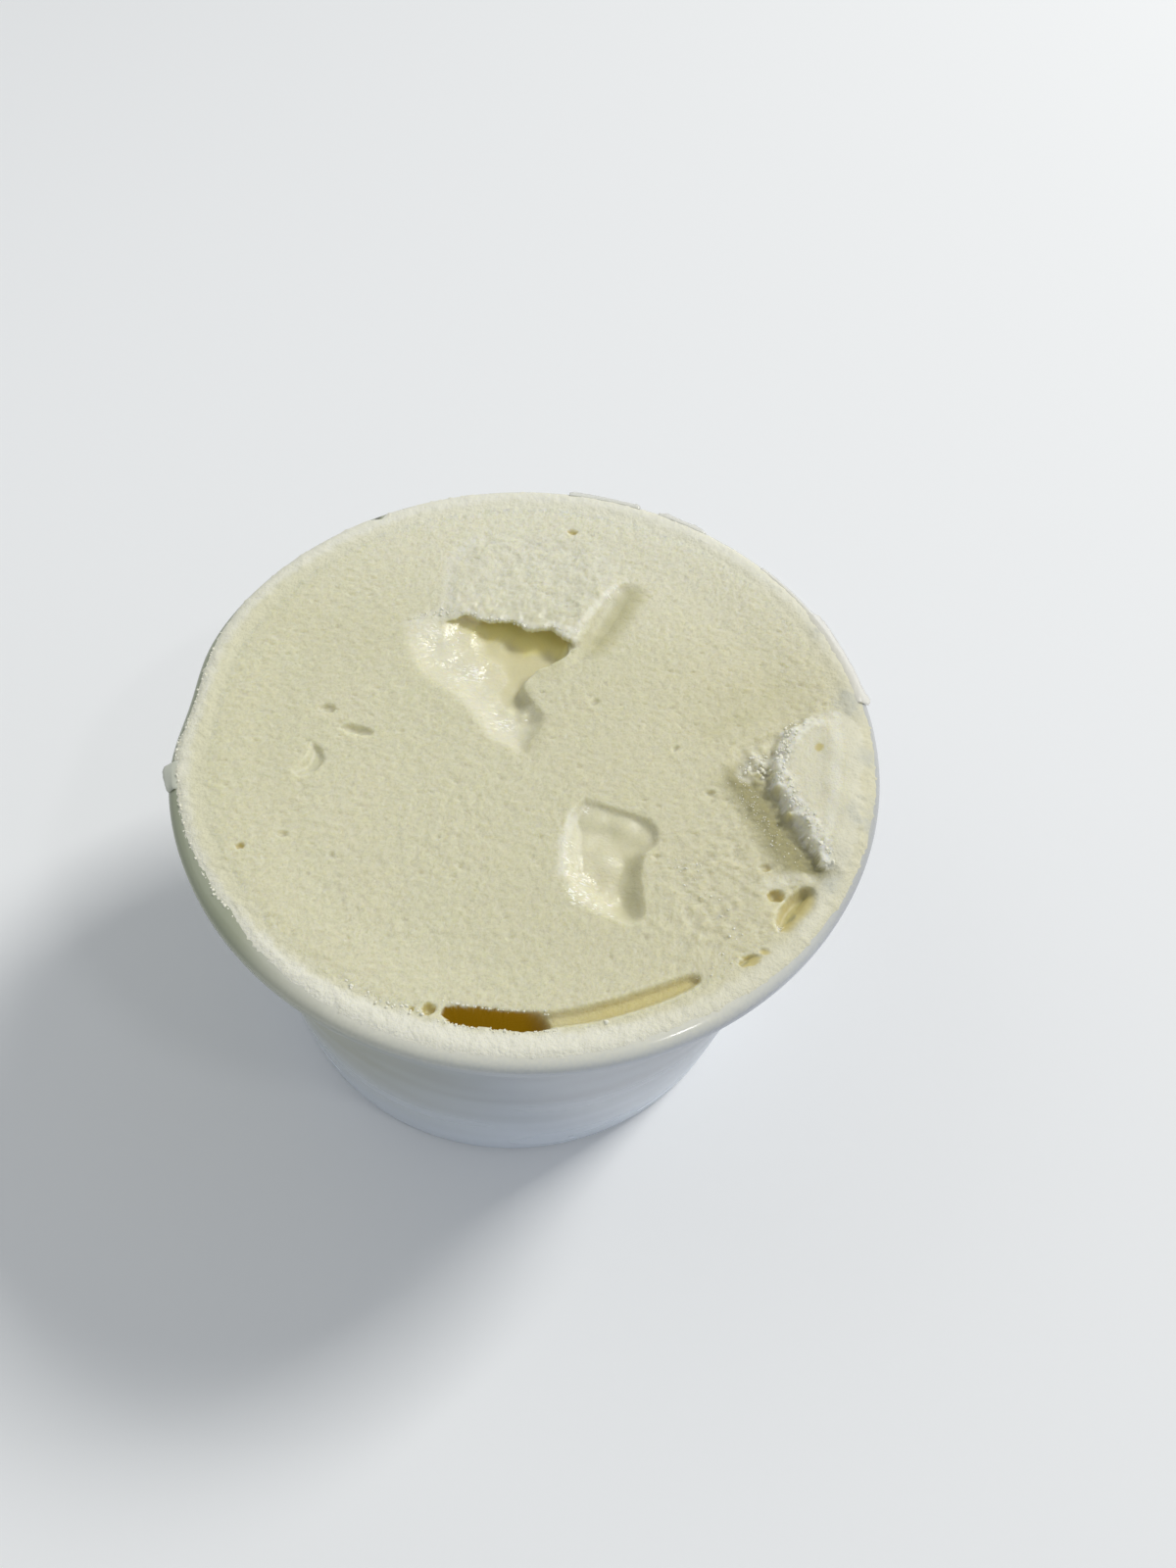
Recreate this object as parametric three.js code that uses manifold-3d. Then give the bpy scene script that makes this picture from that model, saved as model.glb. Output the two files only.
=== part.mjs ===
// A single-serve gelato cup: a thin plastic tub with a rolled sealing rim, filled level with pale
// cream gelato, and the torn remains of its clear lid film. Millimetres, +Z up, origin at the
// middle of the foot. Each piece is one closed solid.
import * as THREE from 'three';
import { mergeVertices } from 'three/addons/utils/BufferGeometryUtils.js';
import Module from 'manifold-3d';

const wasm = await Module();
wasm.setup();

// ---- driving dimensions (mm) ----

// the cup
const CUP_HEIGHT = 48;
const RIM_RADIUS = 38;
const RIM_WIDTH = 3.9; // the sealing rim, from its inner edge to its outer edge
const RIM_ARCH = 1.2; // rise of the rim's rounded top over its two edges
const RIM_DEPTH = 2.4; // crest of the rim down to the end of its skirt
const FLANGE_THICKNESS = 0.85;
const SKIRT_THICKNESS = 0.85;
const BASE_RADIUS = 31;
const FOOT_WIDTH = 2; // flat ring that the cup stands on
const HEEL_RADIUS = 0.9; // rounding between the foot and the wall
const BASE_RECESS = 0.8; // the middle of the base stands clear of the table
const WALL = 0.85;
const FLOOR = 1.7; // height of the inside floor
const FLOOR_FILLET = 2;
const CUP_SIDES = 64;

// the gelato
const FILL_LEVEL = 47.5;
const GAP = 0.3; // clearance between pieces that touch
const EDGE_ROUNDING = 0.35;
const CUT_CLEARANCE = 1.5; // how far a cutting shape stands above the surface
const GELATO_SIDES = 84;
const TOP_RINGS = 20;
const WAVE_HEIGHT = 0.1; // slow rise and fall of the levelled top
const WAVE_LENGTH = 15;
const CRUMB_HEIGHT = 0.12; // lumps of the crumbly patch

// the cup's soft wall is pressed this much out of round, longest along this azimuth
const OUT_OF_ROUND = 0.0125;
const OUT_OF_ROUND_AZIMUTH = Math.PI / 4;

// ---- places and sizes of the gelato's relief (mm, x and y seen from above) ----

// Scoop in front of the lifted flap: sheer at its right edge, a gentle slope at its left.
const SCOOP = {
  centre: [-4.5, 7.5],
  outline: [
    [-16.8, 12.1], [-14.5, 14.6], [-10.9, 16.4], [-6, 17], [-1, 16.9], [3.3, 15.2], [3.4, 12.5],
    [-0.9, 7.9], [-2.2, 5.2], [-0.4, 4.3], [0.9, 2.8], [-0.2, -2.8], [-4.9, 0.5], [-12.7, 5.9],
  ],
  depth: 2.6,
  sheerSide: 30,
  slopes: [1.5, 9],
};

// Four-cornered scoop near the middle, deepest along its right side.
const DENT = {
  centre: [9.6, -14.4],
  outline: [
    [6.8, -7.7], [11, -8.2], [13.9, -9.2], [14.7, -11.3], [13.4, -13.2], [13.5, -15.1],
    [14.1, -18], [14, -20.5], [12.4, -21.1], [9, -20.2], [5.9, -18.6], [4.8, -15.5], [5.2, -10],
  ],
  depth: 2.1,
  sheerSide: 0,
  slopes: [1.6, 12],
};
const DENT_BUMP = { centre: [10.3, -14.2], radius: 1.9, height: 0.9 };

// Rounded furrow down the right side of the lifted flap.
const FURROW = {
  centre: [7, 18],
  outline: [
    [9.9, 22.6], [9.2, 19.8], [7.6, 16.3], [5.8, 13.3], [4.2, 11.9], [3.1, 12.6], [4.4, 16.2],
    [6.2, 20.2], [8, 23.4],
  ],
  depth: 1.7,
  sheerSide: -35,
  slopes: [2, 7],
};

// Hollow torn beside the mound, sheer below the mound's edge.
const TEAR = {
  centre: [27.5, -3],
  outline: [
    [30.5, 8], [26, 7.3], [23.7, 5.8], [22, 3.2], [22.1, -1.5], [23.3, -4.4], [25, -7.8],
    [27.1, -10.5], [29.2, -12.5], [31.4, -13], [32.6, -10.5], [32.4, -3], [32, 4],
  ],
  depth: 2.3,
  sheerSide: 10,
  slopes: [1.5, 6],
};

// Crust lifted against the rim, beside that hollow.
const MOUND = {
  centre: [31.4, -0.6],
  outline: [
    [29.3, 8.4], [27.6, 5.8], [26.6, 2.4], [26.9, -1.2], [28.5, -3.6], [29.6, -6], [31, -8.6],
    [31.6, -10.2], [32.6, -6.9], [33.3, -0.5], [32.6, 5.7], [31.2, 8.7],
  ],
  height: 0.8,
  sink: 2.2,
  sheerSide: 180,
  slopes: [2, 9],
};

// Broad flap of frozen surface lifted over the back of the scoop, with a ragged front edge.
const FLAP = {
  centre: [-2.6, 21.8],
  outline: [
    [-13.2, 17], [-10.4, 15.1], [-8, 15.3], [-5.6, 14.2], [-3, 14.7], [-0.6, 13.9], [1.6, 13.6],
    [3.6, 13.7], [4.6, 16], [5.3, 19.6], [7.6, 23.4], [8, 27], [2, 30.4], [-6, 30], [-12, 26],
    [-13.4, 21],
  ],
  height: 0.55,
  sink: 1,
  sheerSide: -90,
  slopes: [2.4, 10],
};

// Gap between the gelato and the wall at the front: deep on the left, shallow on the right.
const SLOT_INNER_RADIUS = 31.9;
const SLOT_OUTER_RADIUS = 34.5;
const SLOT_PARTS = [
  { from: -95, to: -81, depth: 14 },
  { from: -84, to: -54, depth: 2.8 },
];

// Air holes: middle, half-widths along and across, depth, and the azimuth they stretch along.
const HOLES = [
  { at: [-22.7, -0.2], half: [0.6, 0.4], depth: 0.7, turn: 0 },
  { at: [-18.9, -2.6], half: [1.1, 0.5], depth: 0.8, turn: 10 },
  { at: [-22.6, -7], half: [1.2, 0.8], depth: 0.9, turn: 60 },
  { at: [-26.6, -18.9], half: [0.5, 0.4], depth: 0.6, turn: 30 },
  { at: [-23.2, -16.8], half: [0.6, 0.4], depth: 0.6, turn: 20 },
  { at: [5.8, 5.6], half: [0.6, 0.5], depth: 0.6, turn: 45 },
  { at: [15.3, 0.8], half: [0.6, 0.4], depth: 0.5, turn: 60 },
  { at: [26.5, -13.3], half: [0.7, 0.6], depth: 0.7, turn: 0 },
  { at: [27.2, -15.2], half: [1, 0.9], depth: 1, turn: 0 },
  { at: [29.1, -16.8], half: [2.3, 1.1], depth: 1.8, turn: 52 },
  { at: [24.9, -22.6], half: [1.1, 0.6], depth: 1, turn: 30 },
  { at: [-5, -32.8], half: [0.7, 0.6], depth: 1, turn: 0 },
];

// Crumbly patch of the surface at the lower right.
const CRUMBS = { centre: [19, -17], radius: 9 };

// Torn remains of the clear film that was sealed to the rim, each from one azimuth to another.
const FILM_THICKNESS = 0.25;
const FILM_LIFT = 0.15;
const FILM = [
  { name: 'film_right', from: 16, to: 52, inner: 35.6, outer: 38.7, bulge: 0.3 },
  { name: 'film_left', from: 196, to: 203, inner: 36.2, outer: 38.6, bulge: 0.2 },
  { name: 'film_back', from: 77, to: 92, inner: 36.2, outer: 37.8, bulge: 0.1 },
  { name: 'film_back_scrap', from: 65, to: 72, inner: 36.2, outer: 37.9, bulge: 0.1 },
];

// ---- materials ----

const plastic = new THREE.MeshStandardMaterial({ color: 0xb9c0c8, roughness: 0.3, metalness: 0 });
const gelatoCream = new THREE.MeshStandardMaterial({ color: 0xd3cda9, roughness: 0.7, metalness: 0 });
const film = new THREE.MeshStandardMaterial({ color: 0xe6e6de, roughness: 0.2, metalness: 0 });

// ---- small helpers ----

const radians = (degrees) => (degrees * Math.PI) / 180;
const polar = (radius, azimuth) => [radius * Math.cos(azimuth), radius * Math.sin(azimuth)];
const vectors = (points) => points.map(([x, y]) => new THREE.Vector2(x, y));

// Changes every vertex of a geometry by a function of its place.
function mapVertices(geometry, change) {
  const position = geometry.attributes.position;
  const point = new THREE.Vector3();
  for (let i = 0; i < position.count; i += 1) {
    point.fromBufferAttribute(position, i);
    change(point);
    position.setXYZ(i, point.x, point.y, point.z);
  }
  return geometry;
}

// A lathe about Z from a profile of [radius, height] points that starts and ends on the axis.
function lathe(profile, sides) {
  return new THREE.LatheGeometry(vectors(profile), sides).rotateX(Math.PI / 2);
}

// Points on an elliptical arc, angles in degrees, without the first one.
function arc(centreX, centreY, radiusX, radiusY, from, to, steps) {
  const points = [];
  for (let i = 1; i <= steps; i += 1) {
    const angle = radians(from + ((to - from) * i) / steps);
    points.push([centreX + radiusX * Math.cos(angle), centreY + radiusY * Math.sin(angle)]);
  }
  return points;
}

// Closed three.js geometry to a solid that can be joined and cut, and back.
function toSolid(geometry) {
  const bare = geometry.clone();
  bare.deleteAttribute('normal');
  bare.deleteAttribute('uv');
  const merged = mergeVertices(bare.index ? bare.toNonIndexed() : bare, 1e-4);
  const corners = merged.index.array;
  const triangles = [];
  for (let i = 0; i < corners.length; i += 3) {
    const [a, b, c] = [corners[i], corners[i + 1], corners[i + 2]];
    if (a !== b && b !== c && c !== a) triangles.push(a, b, c);
  }
  const mesh = new wasm.Mesh({
    numProp: 3,
    vertProperties: Float32Array.from(merged.attributes.position.array),
    triVerts: Uint32Array.from(triangles),
  });
  return new wasm.Manifold(mesh);
}

function toGeometry(solid) {
  const mesh = solid.getMesh();
  const geometry = new THREE.BufferGeometry();
  geometry.setAttribute('position', new THREE.BufferAttribute(mesh.vertProperties, 3));
  geometry.setIndex(new THREE.BufferAttribute(mesh.triVerts, 1));
  geometry.computeVertexNormals();
  return geometry;
}

// The soft cup and what it holds are very slightly oval: stretched along one azimuth and
// pressed in across it.
function pressOutOfRound(geometry) {
  geometry.rotateZ(-OUT_OF_ROUND_AZIMUTH);
  geometry.scale(1 + OUT_OF_ROUND, 1 - OUT_OF_ROUND, 1);
  return geometry.rotateZ(OUT_OF_ROUND_AZIMUTH);
}

// ---- the cup ----

const RIM_CREST_RADIUS = RIM_RADIUS - RIM_WIDTH / 2;
const RIM_EDGE_HEIGHT = CUP_HEIGHT - RIM_ARCH;
const RIM_INNER_RADIUS = RIM_RADIUS - RIM_WIDTH;
const UNDER_FLANGE = CUP_HEIGHT - FLANGE_THICKNESS;
const WALL_TOP_RADIUS = RIM_INNER_RADIUS + WALL;

// Outside radius of the tapered wall, and inside radius, at a height.
function outerWall(height) {
  return BASE_RADIUS + ((WALL_TOP_RADIUS - BASE_RADIUS) * height) / UNDER_FLANGE;
}

function innerWall(height) {
  return outerWall(height) - WALL;
}

function makeCup() {
  const skirtEnd = CUP_HEIGHT - RIM_DEPTH;
  const skirtInner = RIM_RADIUS - SKIRT_THICKNESS;
  const lip = SKIRT_THICKNESS / 2;
  const heelCentre = BASE_RADIUS - HEEL_RADIUS;
  const footInner = heelCentre - FOOT_WIDTH;
  const filletCentre = innerWall(FLOOR) - FLOOR_FILLET;
  const profile = [
    [0, BASE_RECESS],
    [footInner - BASE_RECESS, BASE_RECESS],
    [footInner, 0],
    [heelCentre, 0],
    ...arc(heelCentre, HEEL_RADIUS, outerWall(HEEL_RADIUS) - heelCentre, HEEL_RADIUS, -90, 0, 4),
    [outerWall(UNDER_FLANGE - 0.5), UNDER_FLANGE - 0.5],
    [WALL_TOP_RADIUS + 0.5, UNDER_FLANGE],
    [skirtInner - 0.3, UNDER_FLANGE],
    [skirtInner, UNDER_FLANGE - 0.4],
    [skirtInner, skirtEnd + lip],
    ...arc(RIM_RADIUS - lip, skirtEnd + lip, lip, lip, 180, 360, 4),
    [RIM_RADIUS, RIM_EDGE_HEIGHT],
    ...arc(RIM_CREST_RADIUS, RIM_EDGE_HEIGHT, RIM_WIDTH / 2, RIM_ARCH, 0, 180, 10),
    [innerWall(FLOOR + FLOOR_FILLET), FLOOR + FLOOR_FILLET],
    ...arc(filletCentre, FLOOR + FLOOR_FILLET, FLOOR_FILLET, FLOOR_FILLET, 0, -90, 3),
    [0, FLOOR],
  ];
  return toSolid(lathe(profile, CUP_SIDES));
}

// ---- the gelato ----

// A bowl or a heap on a free outline, as a lathe of unit radius drawn out to that outline. Seen
// from above it is sheer towards one azimuth and gentle on the opposite side: its profile is
// 1 - s^p, where p runs between the two slopes. The backing is the flat face that closes it.
function mould({ centre, outline, sheerSide, slopes }, rise, backing) {
  const [x0, y0] = centre;
  const corners = outline.map(([x, y]) => new THREE.Vector3(x, y, 0));
  if (THREE.ShapeUtils.area(corners) < 0) corners.reverse();
  const curve = new THREE.CatmullRomCurve3(corners, true, 'centripetal');
  const rings = [1, 0.93, 0.82, 0.68, 0.5, 0.28, 0];
  const unitProfile = [[0, -1], [1, -1], ...rings.map((share) => [share, share])];
  const solid = lathe(unitProfile, 3 * outline.length);
  mapVertices(solid, (point) => {
    const share = Math.hypot(point.x, point.y);
    const turn = (Math.atan2(point.y, point.x) / (2 * Math.PI) + 1) % 1;
    const edge = curve.getPoint(turn);
    const facing = Math.cos(Math.atan2(edge.y - y0, edge.x - x0) - radians(sheerSide));
    const power = THREE.MathUtils.lerp(slopes[0], slopes[1], (1 + facing) / 2);
    const height = point.z < 0 ? backing : rise * (1 - share ** power);
    point.set(x0 + share * (edge.x - x0), y0 + share * (edge.y - y0), FILL_LEVEL + height);
  });
  if (rise < 0) solid.index.array.reverse(); // a cut hangs below its backing: turn its faces out
  return toSolid(solid);
}

const cut = (form) => mould(form, -form.depth, CUT_CLEARANCE);
const heap = (form) => mould(form, form.height, -form.sink);

// Height of the levelled top: slow waves, and lumps in the crumbly patch.
function surfaceHeight(x, y) {
  const waves = Math.sin(x / WAVE_LENGTH + 1) * Math.cos(y / WAVE_LENGTH - 0.5)
    + 0.5 * Math.sin((x + 2 * y) / WAVE_LENGTH);
  const away = Math.hypot(x - CRUMBS.centre[0], y - CRUMBS.centre[1]) / CRUMBS.radius;
  const lump = Math.sin(9.1 * x + 4.7 * y) * Math.cos(5.3 * x - 7.9 * y);
  return WAVE_HEIGHT * waves + CRUMB_HEIGHT * lump * Math.max(0, 1 - away);
}

function gelatoBlock() {
  const bottom = FLOOR + GAP;
  const filletTop = bottom + FLOOR_FILLET;
  const side = (height) => innerWall(height) - GAP;
  const filletCentre = side(filletTop) - FLOOR_FILLET;
  const topRadius = side(FILL_LEVEL) - EDGE_ROUNDING;
  const profile = [
    [0, bottom],
    ...arc(filletCentre, filletTop, FLOOR_FILLET, FLOOR_FILLET, -90.01, 0, 3),
    [side(CUP_HEIGHT / 2), CUP_HEIGHT / 2],
    [side(FILL_LEVEL - EDGE_ROUNDING), FILL_LEVEL - EDGE_ROUNDING],
  ];
  for (let ring = 0; ring <= TOP_RINGS; ring += 1) {
    profile.push([topRadius * (1 - ring / TOP_RINGS), FILL_LEVEL]);
  }
  const block = lathe(profile, GELATO_SIDES);
  return mapVertices(block, (point) => {
    if (point.z > FILL_LEVEL - EDGE_ROUNDING / 2) point.z += surfaceHeight(point.x, point.y);
  });
}

function makeDentBump() {
  const { centre, radius, height } = DENT_BUMP;
  const bump = new THREE.SphereGeometry(1, 16, 10);
  bump.scale(radius, radius, 2 * height);
  bump.translate(centre[0], centre[1], FILL_LEVEL - DENT.depth - height);
  return toSolid(bump);
}

// Part of the gap along the wall: a ring sector with round ends, cut straight down.
function slotCut({ from, to, depth }) {
  const middle = (SLOT_INNER_RADIUS + SLOT_OUTER_RADIUS) / 2;
  const halfWidth = (SLOT_OUTER_RADIUS - SLOT_INNER_RADIUS) / 2;
  const [start, end] = [radians(from), radians(to)];
  const outline = new THREE.Shape();
  outline.absarc(0, 0, SLOT_OUTER_RADIUS, start, end, false);
  outline.absarc(...polar(middle, end), halfWidth, end, end + Math.PI, false);
  outline.absarc(0, 0, SLOT_INNER_RADIUS, end, start, true);
  outline.absarc(...polar(middle, start), halfWidth, start + Math.PI, start, false);
  const block = new THREE.ExtrudeGeometry(outline, {
    depth: depth + CUT_CLEARANCE, bevelEnabled: false, curveSegments: 10,
  });
  return toSolid(block.translate(0, 0, FILL_LEVEL - depth));
}

function holeCut({ at, half, depth, turn }) {
  const hole = new THREE.SphereGeometry(1, 12, 8).rotateX(Math.PI / 2);
  hole.scale(half[0], half[1], depth).rotateZ(radians(turn));
  return toSolid(hole.translate(at[0], at[1], FILL_LEVEL));
}

function makeGelato() {
  let gelato = toSolid(gelatoBlock());
  for (const form of [SCOOP, FURROW, DENT, TEAR]) gelato = gelato.subtract(cut(form));
  for (const form of [FLAP, MOUND]) gelato = gelato.add(heap(form));
  gelato = gelato.add(makeDentBump());
  for (const part of SLOT_PARTS) gelato = gelato.subtract(slotCut(part));
  for (const hole of HOLES) gelato = gelato.subtract(holeCut(hole));
  return gelato;
}

// ---- the film ----

// A flat torn strip of the lid film, lying on the rim and standing out past it.
function filmStrip({ from, to, inner, outer, bulge }) {
  const outline = new THREE.Shape();
  const steps = Math.max(4, Math.round((to - from) / 3));
  const edge = [];
  for (let i = 0; i <= steps; i += 1) {
    const share = i / steps;
    const azimuth = radians(THREE.MathUtils.lerp(from, to, share));
    const ragged = 0.12 * Math.sin(7 * i) * Math.sin(Math.PI * share);
    edge.push(polar(outer + bulge * Math.sin(Math.PI * share) + ragged, azimuth));
  }
  outline.setFromPoints(vectors(edge));
  outline.absarc(0, 0, inner, radians(to), radians(from), true);
  const strip = new THREE.ExtrudeGeometry(outline, {
    depth: FILM_THICKNESS, bevelEnabled: false, curveSegments: steps,
  });
  return toSolid(strip.translate(0, 0, CUP_HEIGHT + FILM_LIFT));
}

// ---- the scene graph ----

function addPiece(group, name, solid, material) {
  const mesh = new THREE.Mesh(pressOutOfRound(toGeometry(solid)), material);
  mesh.name = name;
  group.add(mesh);
}

const gelatoCup = new THREE.Group();
addPiece(gelatoCup, 'cup', makeCup(), plastic);
addPiece(gelatoCup, 'gelato', makeGelato(), gelatoCream);
for (const strip of FILM) addPiece(gelatoCup, strip.name, filmStrip(strip), film);

export default gelatoCup;
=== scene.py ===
# %% [markdown]
# # A tub of frosted gelato
#
# This lesson dresses a plain solid model of a small gelato tub. The solids come packed, in metres,
# with the foot of the tub on the floor at the origin and +Z up. They hold the sizes and the main
# forms. Blender adds what the eye reads: frost, pores, glints, crumbs, and the gloss of thin plastic.

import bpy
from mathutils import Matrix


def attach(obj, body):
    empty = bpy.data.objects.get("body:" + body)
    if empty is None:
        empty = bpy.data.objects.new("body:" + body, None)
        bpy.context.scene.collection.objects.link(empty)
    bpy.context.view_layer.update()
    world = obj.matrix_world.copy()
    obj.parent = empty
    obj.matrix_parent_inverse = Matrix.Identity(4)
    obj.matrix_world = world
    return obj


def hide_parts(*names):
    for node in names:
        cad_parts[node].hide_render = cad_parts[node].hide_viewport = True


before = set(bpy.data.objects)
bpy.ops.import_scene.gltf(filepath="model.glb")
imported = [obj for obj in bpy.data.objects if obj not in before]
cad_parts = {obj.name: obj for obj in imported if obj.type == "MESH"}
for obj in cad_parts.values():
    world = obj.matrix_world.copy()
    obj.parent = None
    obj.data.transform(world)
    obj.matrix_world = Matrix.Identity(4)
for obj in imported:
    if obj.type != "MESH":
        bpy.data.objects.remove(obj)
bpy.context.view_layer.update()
print("packed nodes:", sorted(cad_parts))

# %% [markdown]
# The working unit is the millimetre, because a maker thinks of a tub in millimetres, and each mesh
# is scaled to metres once, when it is made. The soft tub has been pressed slightly out of round, and
# its rim is pinched in at the left. Every shape is first drawn round and then goes through one
# function that presses it, so the tub, the gelato and the film stay fitted to each other.

# %% Units and the pressed shape
import math

import bmesh
import bpy
import numpy as np
from mathutils import Euler, Matrix, Vector

MM = 0.001
OUT_OF_ROUND = 0.0125
LONG_AXIS = math.radians(45)
PINCH_AZIMUTH = math.radians(-176.5)
PINCH_WIDTH = math.radians(10)
PINCH_DEPTH = 1.0
PINCH_LEVELS = (34, 46)  # levels from no pinch to the full one
PINCH_RADII = (31, 37)


def polar(radius, azimuth):
    """x and y of points at these radii and azimuths."""
    return radius * np.cos(azimuth), radius * np.sin(azimuth)


def pressed(points):
    """Points in mm, made oval, with the rim pinched in a little at the left."""
    x, y, z = np.array(points, float).T
    radius, azimuth = np.hypot(x, y), np.arctan2(y, x)
    turn = (azimuth - PINCH_AZIMUTH + math.pi) % (2 * math.pi) - math.pi
    near_rim = np.interp(radius, PINCH_RADII, (0, 1)) * np.interp(z, PINCH_LEVELS, (0, 1))
    radius = radius - PINCH_DEPTH * near_rim * np.exp(-((turn / PINCH_WIDTH) ** 2))
    x, y = polar(radius, azimuth - LONG_AXIS)
    x, y = x * (1 + OUT_OF_ROUND), y * (1 - OUT_OF_ROUND)
    c, s = math.cos(LONG_AXIS), math.sin(LONG_AXIS)
    return np.column_stack([x * c - y * s, x * s + y * c, z])


print("a point of the rim, pressed:", pressed([(-38, 0, 48)]).round(2)[0])


# %% Making a piece
def add_piece(name, points, faces, slot, material):
    """A smooth mesh from points in mm and faces, riding on the tub's one body."""
    mesh = bpy.data.meshes.new(name)
    mesh.from_pydata((pressed(points) * MM).tolist(), [], [list(face) for face in faces])
    mesh.shade_smooth()
    mesh.materials.append(material)
    piece = bpy.data.objects.new(name, mesh)
    bpy.context.scene.collection.objects.link(piece)
    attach(piece, "root")
    print(f"{name}: {len(points)} points, {len(faces)} faces")
    return piece


# %% [markdown]
# ## Camera, floor and light
#
# The camera stands close above the front edge and looks down on the frozen surface, turned a few
# degrees, as a hand holds it. A close camera with a wide lens makes the rim nearest to it look
# larger, so its distance matters as much as its angle.

# %% Camera
CUP_HEIGHT = 48.0
RIM_CENTRE = Vector((0, 0, CUP_HEIGHT))
CAMERA_PLACE = Vector((6.56, -74.9, 150.58))
CAMERA_PITCH = 33.95  # degrees from looking straight down
CAMERA_ROLL = 8.44  # degrees about the line of sight
LENS = 27
SENSOR_WIDTH = 36
NEAREST_SEEN = 5

camera = bpy.data.objects.new("camera", bpy.data.cameras.new("camera"))
camera.data.lens = LENS
camera.data.sensor_width = SENSOR_WIDTH
camera.data.clip_start = NEAREST_SEEN * MM
pitch = Matrix.Rotation(math.radians(CAMERA_PITCH), 4, "X")
roll = Matrix.Rotation(math.radians(CAMERA_ROLL), 4, "Z")
camera.matrix_world = Matrix.Translation(CAMERA_PLACE * MM) @ (pitch @ roll)
bpy.context.scene.collection.objects.link(camera)
bpy.context.scene.camera = camera
print("camera to rim:", round((CAMERA_PLACE - RIM_CENTRE).length, 1), "mm")

# %% [markdown]
# A key light stands behind and to the right, so that hollows are shaded on their right side and
# glints sit on their left. One broad lamp gives soft-edged shadows. The sky is a dim cool grey, which
# colours the shaded front of the tub. A weak lamp at the left lifts the shade a little, and a small
# strip at the front right draws one bright line on the shoulder of the rim.

# %% Lamps and sky
# Name, azimuth and elevation in degrees, distance and size in mm, watts, colour.
LAMPS = [
    ("key_lamp", 42, 47, 1500, (360, 360), 14.0, (1.0, 0.985, 0.95)),
    ("left_lamp", 165, 50, 260, (160, 160), 0.05, (1.0, 1.0, 1.0)),
    ("strip_lamp", -30, 55, 500, (45, 20), 0.12, (1.0, 1.0, 1.0)),
]
SKY_COLOUR = (0.92, 0.96, 1.0, 1)
SKY_STRENGTH = 0.42

scene = bpy.context.scene
scene.view_settings.view_transform = "Standard"  # pale colours stay as pale as they are set


def add_lamp(name, azimuth, elevation, distance, size, watts, colour):
    """A rectangular lamp that is aimed at the middle of the frozen surface."""
    lamp = bpy.data.lights.new(name, "AREA")
    lamp.shape = "RECTANGLE"
    lamp.size, lamp.size_y = size[0] * MM, size[1] * MM
    lamp.energy = watts
    lamp.color = colour
    a, e = math.radians(azimuth), math.radians(elevation)
    away = Vector((math.cos(a) * math.cos(e), math.sin(a) * math.cos(e), math.sin(e)))
    holder = bpy.data.objects.new(name, lamp)
    holder.location = (away * distance + RIM_CENTRE) * MM
    holder.rotation_euler = away.to_track_quat("Z", "Y").to_euler()
    scene.collection.objects.link(holder)


for lamp_values in LAMPS:
    add_lamp(*lamp_values)
sky = bpy.data.worlds.new("sky")
sky.use_nodes = True
background = sky.node_tree.nodes["Background"].inputs
background["Color"].default_value = SKY_COLOUR
background["Strength"].default_value = SKY_STRENGTH
scene.world = sky
print("lamps:", [name for name, *_ in LAMPS])

# %% Floor
FLOOR_WIDTH = 3000
FLOOR_COLOUR = (0.86, 0.87, 0.88, 1)
FLOOR_ROUGHNESS = 0.9

floor_material = bpy.data.materials.new("pale_floor")
floor_material.use_nodes = True
floor_shader = floor_material.node_tree.nodes["Principled BSDF"]
floor_shader.inputs["Base Color"].default_value = FLOOR_COLOUR
floor_shader.inputs["Roughness"].default_value = FLOOR_ROUGHNESS
half = FLOOR_WIDTH / 2 * MM
corners = [(-half, -half, 0), (half, -half, 0), (half, half, 0), (-half, half, 0)]
floor_mesh = bpy.data.meshes.new("floor")
floor_mesh.from_pydata(corners, [], [(0, 1, 2, 3)])
floor_mesh.materials.append(floor_material)
floor = bpy.data.objects.new("floor", floor_mesh)
scene.collection.objects.link(floor)
print("floor:", FLOOR_WIDTH, "mm wide")

# %% [markdown]
# ## Shader helpers
#
# Materials are networks of small nodes. A few helpers keep them readable: one adds a node and wires
# its inputs, and the others mix, stretch or reckon with what nodes give. Most finishes here are one
# colour tinted by another where a value passes from one end of a range to the other, so tints are
# listed in a table. Textures are measured in millimetres, so the object's coordinates are scaled up
# once in each material.

# %% Node helpers
def set_inputs(tree, node, inputs):
    """Types in each input, or links it where the value is another node's socket."""
    for name, value in inputs.items():
        if isinstance(value, bpy.types.NodeSocket):
            tree.links.new(value, node.inputs[name])
        else:
            node.inputs[name].default_value = value


def add_node(tree, kind, inputs=None, **settings):
    """A new shader node with its inputs and settings."""
    made = tree.nodes.new("ShaderNode" + kind)
    for name, value in settings.items():
        setattr(made, name, value)
    set_inputs(tree, made, inputs or {})
    return made


def mixed(tree, mask, low, high):
    """The socket of a colour that goes from low to high as the mask goes from 0 to 1."""
    # A Mix node has sockets for each kind of data: 6, 7 and 2 are the colours.
    return add_node(tree, "Mix", {0: mask, 6: low, 7: high}, data_type="RGBA").outputs[2]


def mixed_value(tree, mask, low, high):
    """The socket of a value that goes from low to high as the mask goes from 0 to 1."""
    return add_node(tree, "Mix", {0: mask, 2: low, 3: high}, data_type="FLOAT").outputs[0]


def ranged(tree, value, low, high, to_low=0.0, to_high=1.0):
    """The socket of a value stretched from one range to another and held inside it."""
    inputs = {"Value": value, "From Min": low, "From Max": high, "To Min": to_low, "To Max": to_high}
    return add_node(tree, "MapRange", inputs).outputs["Result"]


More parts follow.
